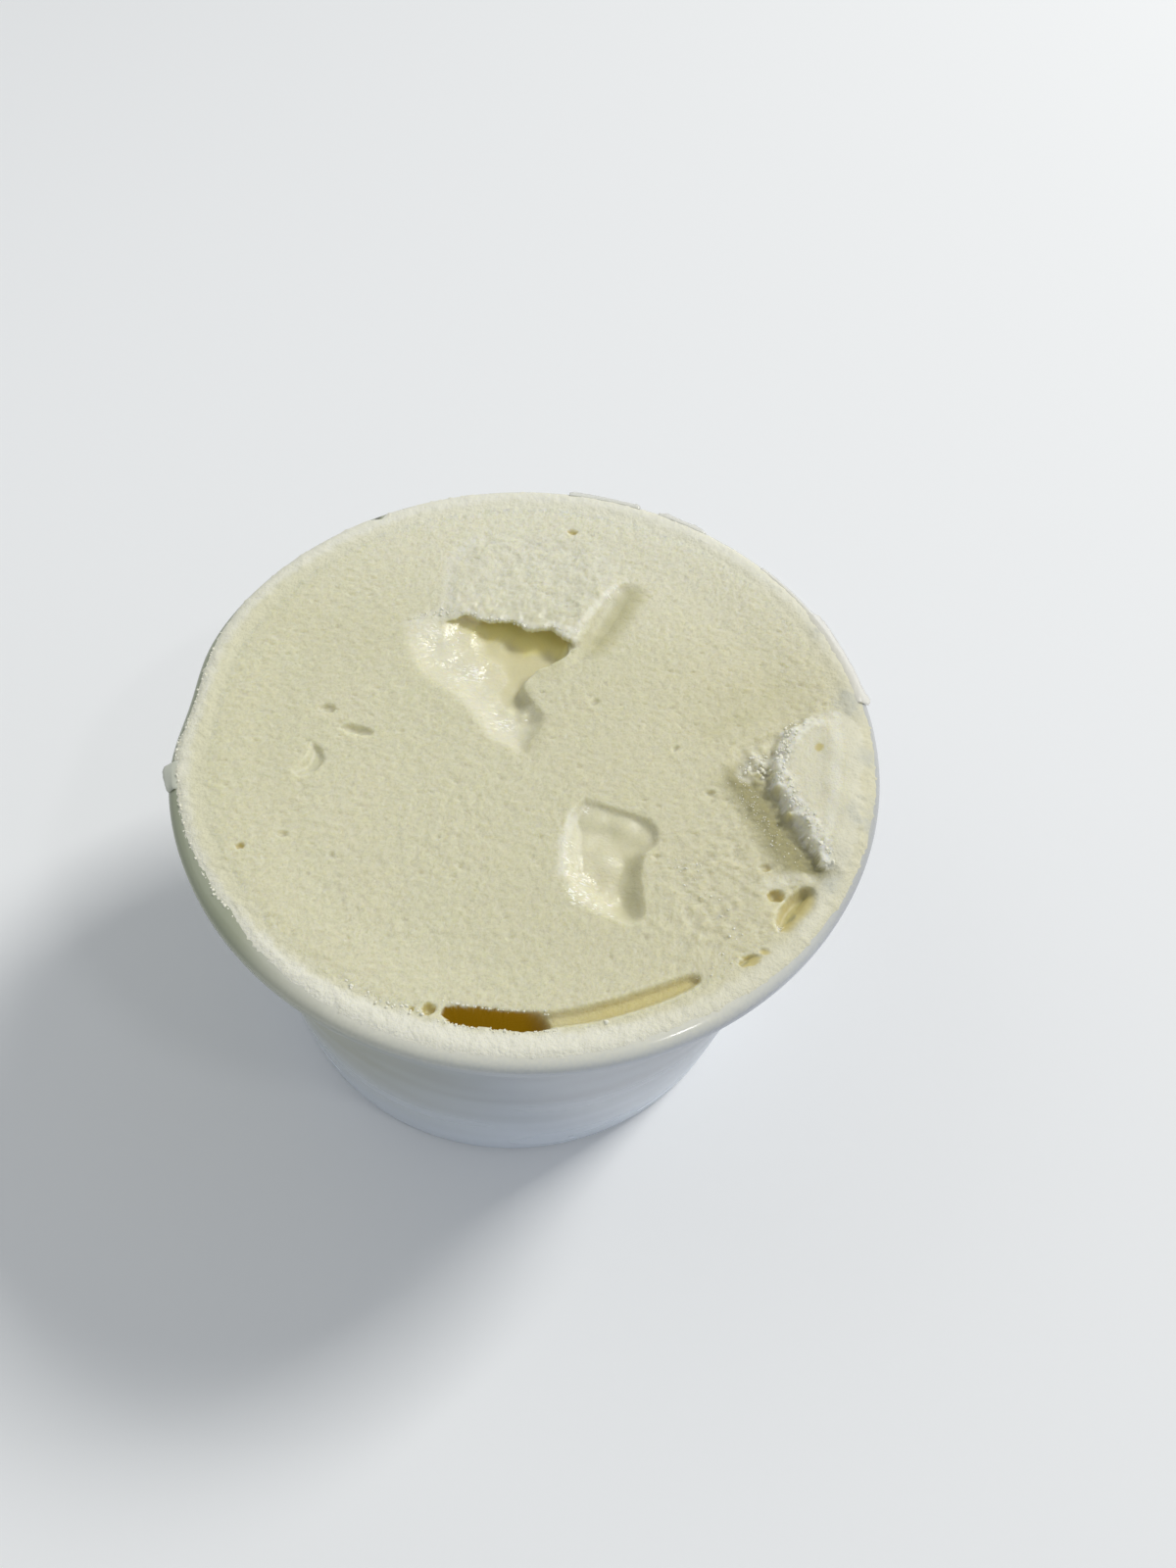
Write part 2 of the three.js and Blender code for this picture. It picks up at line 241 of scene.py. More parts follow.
def maths(tree, operation, first, second):
    """The socket of one sum on two values."""
    return add_node(tree, "Math", {0: first, 1: second}, operation=operation).outputs[0]


def tinted(tree, colour, tints):
    """The socket of a colour after tints: a value, its range, the full strength, and the tint."""
    for value, reach, strength, tint in tints:
        colour = mixed(tree, ranged(tree, value, *reach, 0, strength), colour, tint)
    return colour


# %% Places, masks and new materials
def in_millimetres(tree):
    """The socket of the place on the object, in mm."""
    place = add_node(tree, "TexCoord").outputs["Object"]
    return add_node(tree, "VectorMath", {0: place, "Scale": 1 / MM}, operation="SCALE").outputs["Vector"]


def painted(tree, name):
    """The socket of a mask that is stored on the mesh."""
    return add_node(tree, "Attribute", attribute_name=name).outputs["Fac"]


def stretched_noise(tree, place, scale, turn=0.0, detail=1.0):
    """The socket of a noise with this many cells per mm along X, Y and Z, turned about Z."""
    laid = add_node(tree, "Mapping", {"Vector": place, "Rotation": (0, 0, turn), "Scale": scale})
    cells = {"Vector": laid.outputs["Vector"], "Scale": 1.0, "Detail": detail}
    return add_node(tree, "TexNoise", cells).outputs["Fac"]


def add_bump(tree, height, strength, depth, normal=None):
    """The socket of a normal that is tilted by a height map, with its depth in mm."""
    inputs = {"Height": height, "Strength": strength, "Distance": depth * MM}
    if normal is not None:
        inputs["Normal"] = normal
    return add_node(tree, "Bump", inputs).outputs["Normal"]


def new_material(name):
    """A material, its node tree and its Principled shader."""
    material = bpy.data.materials.new(name)
    material.use_nodes = True
    tree = material.node_tree
    return material, tree, tree.nodes["Principled BSDF"]


# %% [markdown]
# ### A grain that every surface shares
#
# Frozen cream, frost and moulded plastic are all slightly uneven, each at its own scale. A node
# group holds that unevenness once. It takes a place and a size, and gives a height for a Bump node,
# a slow mottle for colour, and scattered specks.

# %% Grain group
GRAIN_SIZE = 0.3
GRAIN_DETAIL = 3.0
GRAIN_ROUGHNESS = 0.6
MOTTLE_SCALE = 0.045  # this and the next are shares of the grain's own scale
SPECK_SCALE = 0.3
MOTTLE_RANGE = (0.3, 0.7)
SPECK_RANGE = (0.22, 0.08)  # from the edge of a speck in to its middle


def make_grain_group():
    """A node group: fine height, slow mottle and small specks, for a given size in mm."""
    group = bpy.data.node_groups.new("grain", "ShaderNodeTree")
    group.interface.new_socket("Place", in_out="INPUT", socket_type="NodeSocketVector")
    size = group.interface.new_socket("Size", in_out="INPUT", socket_type="NodeSocketFloat")
    size.default_value = GRAIN_SIZE
    for name in ("Height", "Mottle", "Specks"):
        group.interface.new_socket(name, in_out="OUTPUT", socket_type="NodeSocketFloat")
    given = group.nodes.new("NodeGroupInput").outputs
    result = group.nodes.new("NodeGroupOutput")
    scale = maths(group, "DIVIDE", 1.0, given["Size"])
    slow_scale = maths(group, "MULTIPLY", scale, MOTTLE_SCALE)
    speck_scale = maths(group, "MULTIPLY", scale, SPECK_SCALE)
    noise = {"Vector": given["Place"], "Detail": GRAIN_DETAIL}
    fine = add_node(group, "TexNoise", {**noise, "Scale": scale, "Roughness": GRAIN_ROUGHNESS})
    slow = add_node(group, "TexNoise", {**noise, "Scale": slow_scale})
    specks = add_node(group, "TexVoronoi", {"Vector": given["Place"], "Scale": speck_scale})
    set_inputs(group, result, {
        "Height": fine.outputs["Fac"],
        "Mottle": ranged(group, slow.outputs["Fac"], *MOTTLE_RANGE),
        "Specks": ranged(group, specks.outputs["Distance"], *SPECK_RANGE),
    })
    return group


grain_group = make_grain_group()
print("grain:", [socket.name for socket in grain_group.interface.items_tree])


def grain(tree, place, size):
    """The outputs of the grain group in a material."""
    made = tree.nodes.new("ShaderNodeGroup")
    made.node_tree = grain_group
    set_inputs(tree, made, {"Place": place, "Size": size})
    return made.outputs


# %% [markdown]
# ## The tub
#
# The tub is thin moulded plastic: a tapered wall, a flat foot ring round a raised base, and at the
# top a rounded sealing rim that ends in a short skirt. It could be bent from a sheet with a
# thickness, but a turned profile is simpler and gives every edge its own radius. The same sizes as
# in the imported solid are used, with four times as many sides.

# %% Tub sizes
RIM_RADIUS = 38.0
RIM_WIDTH = 3.9
RIM_ARCH = 1.2
RIM_DEPTH = 2.4
WALL = 0.85  # thickness of the wall, the rim and its skirt
BASE_RADIUS = 31.0
FOOT_WIDTH = 2.0
HEEL_RADIUS = 0.9
BASE_RECESS = 0.8
FLOOR_LEVEL = 1.7
FLOOR_FILLET = 2.0
CORNER = 0.4  # cut off the corners inside the skirt
RIM_ROOT = 0.5  # where the wall turns out into the rim
TUB_SIDES = 256

RIM_CREST = RIM_RADIUS - RIM_WIDTH / 2
RIM_EDGE_LEVEL = CUP_HEIGHT - RIM_ARCH
RIM_INNER = RIM_RADIUS - RIM_WIDTH
UNDER_RIM = CUP_HEIGHT - WALL


def outer_wall(level):
    """Outside radius of the tapered wall at a level."""
    return BASE_RADIUS + (RIM_INNER + WALL - BASE_RADIUS) * level / UNDER_RIM


def inner_wall(level):
    """Inside radius of the tapered wall at a level."""
    return outer_wall(level) - WALL


def rim_top(radius):
    """Level of the rim's rounded top at a radius."""
    share = np.clip((radius - RIM_CREST) / (RIM_WIDTH / 2), -1, 1)
    return RIM_EDGE_LEVEL + RIM_ARCH * np.sqrt(1 - share**2)


print("inside radius at the floor:", round(inner_wall(FLOOR_LEVEL), 2), "mm")


# %% Turning a profile
def arc(centre, radii, start, end, steps):
    """Points of an elliptical arc in a profile, angles in degrees."""
    angles = np.radians(np.linspace(start, end, steps))
    return [(centre[0] + radii[0] * math.cos(a), centre[1] + radii[1] * math.sin(a)) for a in angles]


def turned(profile, sides):
    """Points and faces of a profile of (radius, level) turned about the axis, from axis to axis."""
    azimuths = np.arange(sides) * 2 * math.pi / sides
    rings = [np.column_stack([*polar(r, azimuths), np.full(sides, z)]) for r, z in profile[1:-1]]
    points = np.vstack([[0, 0, profile[0][1]], *rings, [0, 0, profile[-1][1]]])
    step = np.arange(sides)
    after = (step + 1) % sides
    faces = [(0, 1 + b, 1 + a) for a, b in zip(step, after)]
    for ring in range(len(rings) - 1):
        low, high = 1 + ring * sides, 1 + (ring + 1) * sides
        faces += [(low + a, low + b, high + b, high + a) for a, b in zip(step, after)]
    last = 1 + (len(rings) - 1) * sides
    faces += [(last + a, last + b, len(points) - 1) for a, b in zip(step, after)]
    return points, faces


print("a quarter of a circle:", np.round(arc((0, 0), (1, 1), 0, 90, 3), 2).tolist())


# %% Tub profile
def tub_profile():
    """The tub from the middle of its underside, out, up, over the rim and down inside."""
    skirt_end = CUP_HEIGHT - RIM_DEPTH
    skirt_inner = RIM_RADIUS - WALL
    lip = WALL / 2
    heel = BASE_RADIUS - HEEL_RADIUS
    foot_inner = heel - FOOT_WIDTH
    heel_width = outer_wall(HEEL_RADIUS) - heel
    wall_levels = np.linspace(HEEL_RADIUS, UNDER_RIM - RIM_ROOT, 24)[1:]
    inner_levels = np.linspace(RIM_EDGE_LEVEL, FLOOR_LEVEL + FLOOR_FILLET, 16)[1:]
    fillet = inner_wall(FLOOR_LEVEL) - FLOOR_FILLET
    return [
        (0, BASE_RECESS),
        (foot_inner - BASE_RECESS, BASE_RECESS),
        *arc((foot_inner - BASE_RECESS, 0), (BASE_RECESS, BASE_RECESS), 80, 10, 5),
        (foot_inner, 0),
        (heel, 0),
        *arc((heel, HEEL_RADIUS), (heel_width, HEEL_RADIUS), -80, 0, 8),
        *[(outer_wall(z), z) for z in wall_levels],
        (RIM_INNER + WALL + RIM_ROOT, UNDER_RIM),
        (skirt_inner - CORNER, UNDER_RIM),
        (skirt_inner, UNDER_RIM - CORNER),
        (skirt_inner, skirt_end + lip),
        *arc((RIM_RADIUS - lip, skirt_end + lip), (lip, lip), 200, 360, 9),
        (RIM_RADIUS, RIM_EDGE_LEVEL - CORNER),
        *arc((RIM_CREST, RIM_EDGE_LEVEL), (RIM_WIDTH / 2, RIM_ARCH), 0, 180, 33),
        *[(inner_wall(z), z) for z in inner_levels],
        *arc((fillet, FLOOR_LEVEL + FLOOR_FILLET), (FLOOR_FILLET, FLOOR_FILLET), -10, -90, 7),
        (0, FLOOR_LEVEL),
    ]


print("tub profile:", len(tub_profile()), "points")

# %% [markdown]
# ### Tub plastic
#
# The plastic is white, glossy and a little see-through. Its front stands in shade, and its colours
# are painted shade: greener at the left, bluer and lighter at the right, and paler low down, where
# light from the floor is painted on. Along the rim it is cream, where frost lies on it as a thin
# bloom and the light on the rim's shoulder is painted too. At the left the bare rim is painted in
# darker shade, and a painted shadow line runs under the skirt. A moulded wall is too smooth for a
# bump. One Principled shader does it all, with soft masks made from the place on the tub, and slow
# level bands in its colour and gloss.

# %% Tub colours
# Painted shade: the white plastic is given the greys of the tub's shaded front, greener at the left and
# bluer at the right.
PLASTIC_LEFT_SHADE = (0.40, 0.40, 0.255, 1)
# Painted shade of the bare rim at the left.
RIM_LEFT_SHADE = (0.34, 0.365, 0.26, 1)
PLASTIC_MIDDLE_SHADE = (0.40, 0.435, 0.475, 1)
PLASTIC_RIGHT_SHADE = (0.315, 0.335, 0.39, 1)
# Pale blue: for the slow level bands, and as painted light from the floor near the foot.
PLASTIC_PALE_AND_FLOOR_LIGHT = (0.74, 0.81, 0.91, 1)
# Cream of the frost bloom and of painted light on the rim.
BLOOM_AND_RIM_LIGHT_COLOUR = (0.76, 0.75, 0.64, 1)
# Painted shadow under the skirt of the rim.
SKIRT_SHADOW_COLOUR = (0.17, 0.18, 0.19, 1)
DIRT_COLOUR = (0.07, 0.065, 0.05, 1)
DIRT_SPOTS = [((-23.4, 28.4, 47.7), 0.55), ((17.6, -28.0, 21.0), 0.5)]  # place and radius

# Where a colour comes in, by X or by level in mm: where it is none, and where it is full.
# The painted shade changes across the tub by X.
MIDDLE_FROM_LEFT = (-24, 3)
RIGHT_FROM_MIDDLE = (2, 34)
# Painted light from the floor, by level.
FLOOR_LIGHT_FROM_ABOVE = (24, 4)
# Where the bare rim at the left is painted in shade, by level and by X.
SHADED_RIM_LEVELS = (45, 45.8)
SHADED_RIM_ACROSS = (-18, -26)
# Frost bloom and painted light along the rim.
BLOOM_AND_LIGHT_LEVELS = (47.0, 48.3)
BLOOM_AND_LIGHT_FROM_LEFT = (-24, -12)
BLOOM_AND_LIGHT_TO_RIGHT = (22, 34, 1.0, 0.6)  # the last two are how strong it is at each end
# Levels of the painted shadow line under the skirt.
SKIRT_SHADOW_BELOW = (45.4, 45.5)
SKIRT_SHADOW_ABOVE = (45.95, 45.7)
RIM_GLOSS_LEVELS = (45.8, 46.8)
BAND_CELLS = (0.04, 0.04, 0.16)  # per mm, so that the bands lie level
RIM_ROUGHNESS = 0.13
WALL_ROUGHNESS = (0.24, 0.28)
print("the rim is bare of frost from x =", SHADED_RIM_ACROSS[1], "mm to the left")


# %% Tub plastic
def within(tree, first, second):
    """The socket of a mask that is full only where both masks are."""
    return maths(tree, "MULTIPLY", first, second)


def make_tub_plastic():
    """Glossy plastic in painted shade, frost and painted light on the rim, a painted shadow line, two
    specks of dirt.
    """
    material, tree, shader = new_material("tub_plastic")
    place = in_millimetres(tree)
    x, y, z = add_node(tree, "SeparateXYZ", {"Vector": place}).outputs
    frosty = grain(tree, place, 0.4)
    bands = stretched_noise(tree, place, BAND_CELLS)
    # Painted shade on the bare outside of the rim at the left.
    shaded_bare_rim = within(tree, ranged(tree, z, *SHADED_RIM_LEVELS), ranged(tree, x, *SHADED_RIM_ACROSS))
    # Frost bloom on the rim, with painted light on the rim's shoulder and skirt, fading down the skirt.
    drifted = maths(tree, "ADD", z, maths(tree, "MULTIPLY", frosty["Height"], 0.6))
    bloom_and_light = within(tree, ranged(tree, drifted, *BLOOM_AND_LIGHT_LEVELS), ranged(tree, x, *BLOOM_AND_LIGHT_FROM_LEFT))
    bloom_and_light = within(tree, bloom_and_light, ranged(tree, x, *BLOOM_AND_LIGHT_TO_RIGHT))
    # A painted shadow line under the skirt of the rim.
    skirt_shadow = within(tree, ranged(tree, z, *SKIRT_SHADOW_BELOW), ranged(tree, z, *SKIRT_SHADOW_ABOVE))
    colour = tinted(tree, PLASTIC_LEFT_SHADE, (
        # Painted shade across the tub, from the left to the right.
        (x, MIDDLE_FROM_LEFT, 1, PLASTIC_MIDDLE_SHADE),
        (x, RIGHT_FROM_MIDDLE, 1, PLASTIC_RIGHT_SHADE),
        (bands, (0.4, 0.8), 0.35, PLASTIC_PALE_AND_FLOOR_LIGHT),
        # Painted light from the floor: paler low down.
        (z, FLOOR_LIGHT_FROM_ABOVE, 0.75, PLASTIC_PALE_AND_FLOOR_LIGHT),
        (shaded_bare_rim, (0, 1), 1, RIM_LEFT_SHADE),
        (bloom_and_light, (0, 1), 1, BLOOM_AND_RIM_LIGHT_COLOUR),
        (skirt_shadow, (0, 1), 0.6, SKIRT_SHADOW_COLOUR),
    ))
    for spot, radius in DIRT_SPOTS:
        away = add_node(tree, "VectorMath", {0: place, 1: spot}, operation="DISTANCE").outputs["Value"]
        away = maths(tree, "ADD", away, maths(tree, "MULTIPLY", frosty["Height"], radius))
        colour = tinted(tree, colour, [(away, (1.3 * radius, radius), 0.8, DIRT_COLOUR)])
    wall_gloss = ranged(tree, bands, 0.3, 0.7, *WALL_ROUGHNESS)
    set_inputs(tree, shader, {
        "Base Color": colour,
        "Roughness": mixed_value(tree, ranged(tree, z, *RIM_GLOSS_LEVELS), wall_gloss, RIM_ROUGHNESS),
        "Subsurface Weight": 0.15,
        "Subsurface Radius": (1.0, 1.0, 0.8),
        "Subsurface Scale": 0.6 * MM,
    })
    return material


tub_plastic = make_tub_plastic()
tub = add_piece("tub", *turned(tub_profile(), TUB_SIDES), "cup_plastic", tub_plastic)
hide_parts("cup")

# %% [markdown]
# ## The frozen surface
#
# The gelato fills the tub almost to the crest of the rim. Its top was levelled, then frozen hard,
# scooped in two places, lifted into a flap at the back and torn against the rim on the right. All of
# that is relief on one skin, so the gelato can be one fine grid of points on a disc whose heights
# are worked out by functions, with a closed underside that follows the inside of the tub.
#
# The functions below are the craft of the piece. `lumps` gives random but smooth unevenness, a
# closed curve runs through a few corners, and `inside_distance` says how far a point is from a curve.
# Each use of `grit` names the size of its largest lumps in mm, a seed and, where not 3, its layers.

# %% Unevenness
NOISE_CELLS = 256  # lumps along each side of a square that repeats
LAYER_SHARE = 0.6  # height of each layer of grit as a share of the one before
GRIT_GAIN = 1.6  # brings the sum of the layers back to about -1 to 1


def eased(share):
    """A share from 0 to 1, with a soft start and end."""
    share = np.clip(share, 0, 1)
    return share * share * (3 - 2 * share)


def lumps(x, y, size, seed):
    """Smooth random heights from -1 to 1, in lumps about this size in mm."""
    table = np.random.default_rng(seed).uniform(-1, 1, (NOISE_CELLS, NOISE_CELLS))
    c, s = math.cos(seed), math.sin(seed)  # each seed lies at its own angle
    u, v = (x * c + y * s) / size, (y * c - x * s) / size
    column, row = np.floor(u).astype(int), np.floor(v).astype(int)
    across, up = eased(u - column), eased(v - row)
    corner = [table[(column + i) % NOISE_CELLS, (row + j) % NOISE_CELLS] for i in (0, 1) for j in (0, 1)]
    left, right = corner[0] * (1 - up) + corner[1] * up, corner[2] * (1 - up) + corner[3] * up
    return left * (1 - across) + right * across


def grit(x, y, size, seed, layers=3):
    """Lumps with smaller lumps on them, from about -1 to 1."""
    shares = [LAYER_SHARE**k for k in range(layers)]
    total = sum(s * lumps(x, y, size / 2**k, seed + k) for k, s in enumerate(shares))
    return total / sum(shares) * GRIT_GAIN


print("lumps at one place:", lumps(np.ones(1), np.ones(1), 5, 1).round(2))

# %% Curves
CURVE_STEPS = 5  # points from one corner to the next
CURVE_PULL = 0.38  # how far the curve bends between its corners


def closed_curve(corners):
    """A smooth closed curve through a few corners."""
    corners = np.array(corners, float)
    t = np.linspace(0, 1, CURVE_STEPS, endpoint=False)[:, None]
    parts = []
    for k in range(len(corners)):
        before, start, end, after = (corners[(k + j) % len(corners)] for j in (-1, 0, 1, 2))
        straight = start + (end - start) * eased(t)
        bend = (end - before) * (t**3 - 2 * t**2 + t) + (after - start) * (t**3 - t**2)
        parts.append(straight + CURVE_PULL * bend)
    return np.vstack(parts)


square = closed_curve([(0, 0), (1, 0), (1, 1), (0, 1)])
print("curve through the corners of a square:", len(square), "points")


# %% Distances
def squared_distance(start, end, x, y):
    """Squared distance of each point from the straight line between two ends."""
    x, y = x - start[0], y - start[1]
    dx, dy = end[0] - start[0], end[1] - start[1]
    along = np.clip((x * dx + y * dy) / (dx * dx + dy * dy), 0, 1)
    return (x - along * dx) ** 2 + (y - along * dy) ** 2


def inside_distance(corners, x, y):
    """Distance of each point from a closed curve, positive inside it."""
    curve = closed_curve(corners)
    nearest = np.full(x.shape, np.inf)
    inside = np.zeros(x.shape, bool)
    for start, end in zip(curve, np.roll(curve, -1, axis=0)):
        nearest = np.minimum(nearest, squared_distance(start, end, x, y))
        (x0, y0), (x1, y1) = start, end
        if y1 != y0:
            inside ^= ((y0 > y) != (y1 > y)) & (x < x0 + (y - y0) / (y1 - y0) * (x1 - x0))
    return np.where(inside, 1, -1) * np.sqrt(nearest)


# %% Hollows and heaps
SOUNDING_BLUR = 0.3  # in mm squared, round the place of a sounding
SOUNDING_FADE = 1.5  # how fast a sounding loses weight with distance
SHEER_WIDTH = 1.2  # a wall narrower than this, in mm, has a sharp brink
STRAIGHT_SHARE = 0.6  # how far a gentle wall is straight, and not rounded at both ends


def sounded(soundings, x, y):
    """Depth and wall width everywhere, from a few soundings of (x, y, depth, wall width)."""
    apart = [(x - sx) ** 2 + (y - sy) ** 2 for sx, sy, _, _ in soundings]
    weights = [1 / (squared + SOUNDING_BLUR) ** SOUNDING_FADE for squared in apart]
    total = sum(weights)
    depth = sum(w * sounding[2] for w, sounding in zip(weights, soundings)) / total
    width = sum(w * sounding[3] for w, sounding in zip(weights, soundings)) / total
    return depth, width


def form(outline, soundings, x, y, ragged=0.0, grain_size=1.0):
    """Share of the full wall reached and full depth at each point of a hollow or a heap."""
    sway = ragged * grit(x, y, grain_size, 11)
    inset = inside_distance(outline, x, y) + sway
    depth, width = sounded(soundings, x, y)
    share = np.clip(inset / width, 0, 1)
    soft = eased((width - SHEER_WIDTH) / SHEER_WIDTH)
    gentle = STRAIGHT_SHARE * share + (1 - STRAIGHT_SHARE) * eased(share)
    return (1 - (1 - share) ** 2) * (1 - soft) + gentle * soft, depth


def describe(name, outline, soundings):
    """Prints how large a hollow or a heap is, and its deepest or highest sounding."""
    across, back = np.ptp(outline, axis=0).round(1)
    print(f"{name}: {across} x {back} mm, at most {max(row[2] for row in soundings)} mm")


# %% [markdown]
# ### Where things are on the surface
#
# Places are in mm from the middle of the tub, seen from above, with the front of the tub towards
# -Y. A hollow is an outline and a few soundings: how deep it is at a place, and how wide the wall
# is there. A narrow wall is sheer, and a wide one is a gentle slope.

# %% Scoop
FILL_LEVEL = 47.5  # the level that all depths and heights are measured from

SCOOP = [
    (-12.3, 18.5), (-12.4, 15.6), (-14.8, 14.2), (-16.8, 12.2), (-16.0, 9.0), (-13.8, 5.8),
    (-9.4, 3.2), (-7.0, 1.4), (-5.0, -1.2), (-1.9, -2.7), (-0.3, -2.9), (0.1, -0.8), (0.9, 1.6),
    (0.7, 2.8), (-0.8, 4.3), (-1.6, 5.0), (-2.2, 6.4), (-1.1, 8.5), (0.8, 10.2), (1.7, 11.1),
    (2.2, 12.2), (2.8, 13.2), (2.4, 16), (-4, 18.5),
]
SCOOP_SOUNDINGS = [
    (-15, 12.2, 0.3, 2.5), (-13.6, 14.0, 0.35, 1.8), (-12.5, 10.0, 0.8, 3.5), (-10, 13.4, 1.1, 2.5),
    (-9, 8.5, 1.35, 3.8), (-10.0, 5.6, 0.8, 3.5), (-7, 13.2, 2.0, 1.5), (-6, 8.0, 1.75, 3.5),
    (-4, 13.3, 2.4, 0.8), (0, 13.2, 2.2, 0.5), (2, 12.9, 1.8, 0.4), (-1.2, 10.6, 2.0, 1.0),
    (-3.5, 9.5, 2.0, 1.5), (-2.6, 6.4, 1.9, 0.7), (-3.0, 5.2, 1.5, 1.0), (-5.5, 3.6, 1.2, 3.5),
    (-3.4, 0.8, 0.9, 3.0), (-0.6, 2.6, 1.0, 1.9), (-0.8, -0.2, 0.85, 1.9), (-2.2, -1.0, 0.7, 2.2),
]
describe("scoop", SCOOP, SCOOP_SOUNDINGS)

# %% Flap and furrow
# The flap's front edge is a line from left to right, and FLAP is the outline of the whole slab.
FLAP_FRONT = [
    (-14, 15.7), (-12.3, 15.8), (-10.5, 15.5), (-8.5, 14.9), (-7.5, 14.6), (-6.8, 15.0), (-5, 15.3),
    (-3, 14.3), (-1.6, 14.6), (-0.4, 15.0), (0.6, 14.2), (1.5, 13.5), (2.2, 13.3), (3.2, 13.0), (5, 12.4),
]
FLAP = [
    (-13.2, 17.0), (-11.6, 14.2), (-6, 12.6), (0, 12.2), (2.4, 12.6), (3.2, 13.4), (3.7, 15.0),
    (4.1, 17), (4.9, 19.4), (6.0, 21.6), (7.0, 23.4), (8.4, 27), (2, 30.6), (-6, 30.4), (-11.6, 27.6),
    (-13.3, 24.6), (-13.8, 22.8), (-13.4, 20.4),
]
FLAP_SOUNDINGS = [
    (-12, 18, 0.3, 1.6), (-13, 22, 0.3, 1.8), (-12.5, 25, 0.25, 2.0), (-8, 16, 0.35, 1.2),
    (-3, 16, 0.4, 1.2), (2, 15, 0.5, 0.9), (3.2, 18, 0.6, 1.2), (5.3, 21.8, 0.5, 1.2),
    (0, 21, 0.2, 2.5), (-6, 22, 0.15, 2.5), (-2, 27, 0.05, 3.0), (6, 26, 0.1, 2.5),
]
FURROW = [
    (7.0, 23.9), (8.6, 24.1), (9.6, 22.9), (9.3, 20.5), (8.4, 17), (6.9, 13.7), (5.4, 11.4),
    (3.4, 9.2), (1.7, 8.8), (1.4, 10.0), (2.3, 11.4), (3.3, 13.2), (3.6, 15.0), (4.0, 17.2),
    (4.8, 20.0), (5.9, 22.4),
]
FURROW_SOUNDINGS = [
    (8.6, 22.6, 0.4, 2.2), (6.6, 22.6, 0.45, 1.2), (8.8, 20.0, 0.5, 2.8), (5.6, 20.5, 0.65, 1.2),
    (7.9, 17.0, 0.55, 2.8), (4.8, 17.4, 0.7, 1.2), (6.7, 14.4, 0.45, 2.8), (4.2, 14.6, 0.65, 1.3),
    (5.0, 12.4, 0.35, 2.6), (3.2, 12.0, 0.4, 1.8), (2.8, 10.2, 0.15, 2.0),
]
describe("flap", FLAP, FLAP_SOUNDINGS)
describe("furrow", FURROW, FURROW_SOUNDINGS)

# %% Dent
DENT = [
    (6.5, -7.3), (7.0, -7.4), (10, -8.1), (13.2, -8.7), (14.6, -10), (14.7, -11.8), (13.6, -13.2),
    (13.5, -15.5), (14, -18), (14.4, -20.2), (13.2, -21.3), (10.5, -20.9), (7.5, -20), (5.9, -17.8),
    (5.2, -14), (5.2, -10.0),
]
DENT_SOUNDINGS = [
    (8, -9.2, 0.4, 0.6), (11, -9.6, 0.45, 0.5), (13.4, -10.6, 0.75, 0.9), (9.2, -11.6, 0.95, 2.1),
    (6.7, -12.5, 0.75, 1.9), (7.2, -15.2, 1.1, 2.2), (9.3, -16.8, 1.5, 3.2), (11.0, -16.8, 1.5, 2.3),
    (10.6, -14.2, 1.1, 2.1), (12.2, -12.6, 1.0, 1.2), (12.5, -15.2, 1.5, 1.9), (12.5, -18.2, 1.55, 2.0),
    (12.4, -20.2, 1.2, 1.8), (8.6, -18.4, 1.0, 3.4),
]
describe("dent", DENT, DENT_SOUNDINGS)

# %% Tear and mound
TEAR = [
    (21.9, 1.6), (23.4, 3.2), (26.0, 4.6), (28.2, 6.4), (30.5, 7.2), (31.5, 4), (30.5, -1), (31, -5),
    (33, -9), (34, -12.4), (33.2, -13.6), (30.2, -13.6), (27.6, -11.4), (25.4, -8.4), (23.2, -4.6),
    (21.6, -1.6),
]
TEAR_SOUNDINGS = [
    (23.4, 0.8, 0.5, 1.8), (25.4, 2.6, 0.25, 1.5), (27.4, 6.0, 0.05, 1.4), (24.6, 0.4, 0.5, 1.8),
    (24.6, -2.6, 0.85, 2.2), (27.0, -5.6, 0.95, 2.6), (29.0, -9.0, 0.9, 2.6), (31.2, -12.4, 0.45, 1.8),
    (25.8, -1.2, 0.7, 1.6),
]
# The mound's broken edge, as a line from its back end to its front end, closed against the rim.
MOUND = [
    (29.4, 7.2), (27.4, 5.2), (26.2, 3.2), (25.8, 1.0), (25.8, -0.8), (26.3, -2.6), (27.3, -4.6),
    (28.3, -6.1), (29.5, -7.8), (30.5, -9.7), (31.7, -12.3), (34.2, -12.6), (36, -8), (36.4, 0),
    (36, 6.6), (32.8, 9.2),
]
MOUND_SOUNDINGS = [
    (26.8, 2.5, 0.3, 1.3), (26.9, -1.5, 0.3, 1.0), (28.8, -5.6, 0.2, 0.9), (28.6, 5.6, 0.15, 1.5),
    (30.2, 2.5, 0.3, 1.2), (30.6, -3, 0.3, 1.2), (32.9, 3, 0.75, 1.6), (33.1, -3, 0.75, 1.6),
    (32.7, 8, 0.3, 2.4), (32.8, -8.4, 0.5, 1.2), (35.4, 0, 0.55, 1.5), (32.0, -10.8, 0.25, 0.9),
]
describe("tear", TEAR, TEAR_SOUNDINGS)
describe("mound", MOUND, MOUND_SOUNDINGS)

# %% Rises and air holes
# Small rises: place, radius and height.
RISES = [
    (9.9, -14.3, 1.9, 0.28), (-3.4, 3.3, 0.9, 0.3), (-1.6, 2.6, 0.8, 0.4), (23.9, 1.2, 0.9, 0.6),
    (23.5, -0.9, 0.6, 0.5), (25.0, 0.3, 0.6, 0.45), (24.6, -0.9, 0.5, 0.4), (24.9, 2.2, 0.8, 0.4),
]
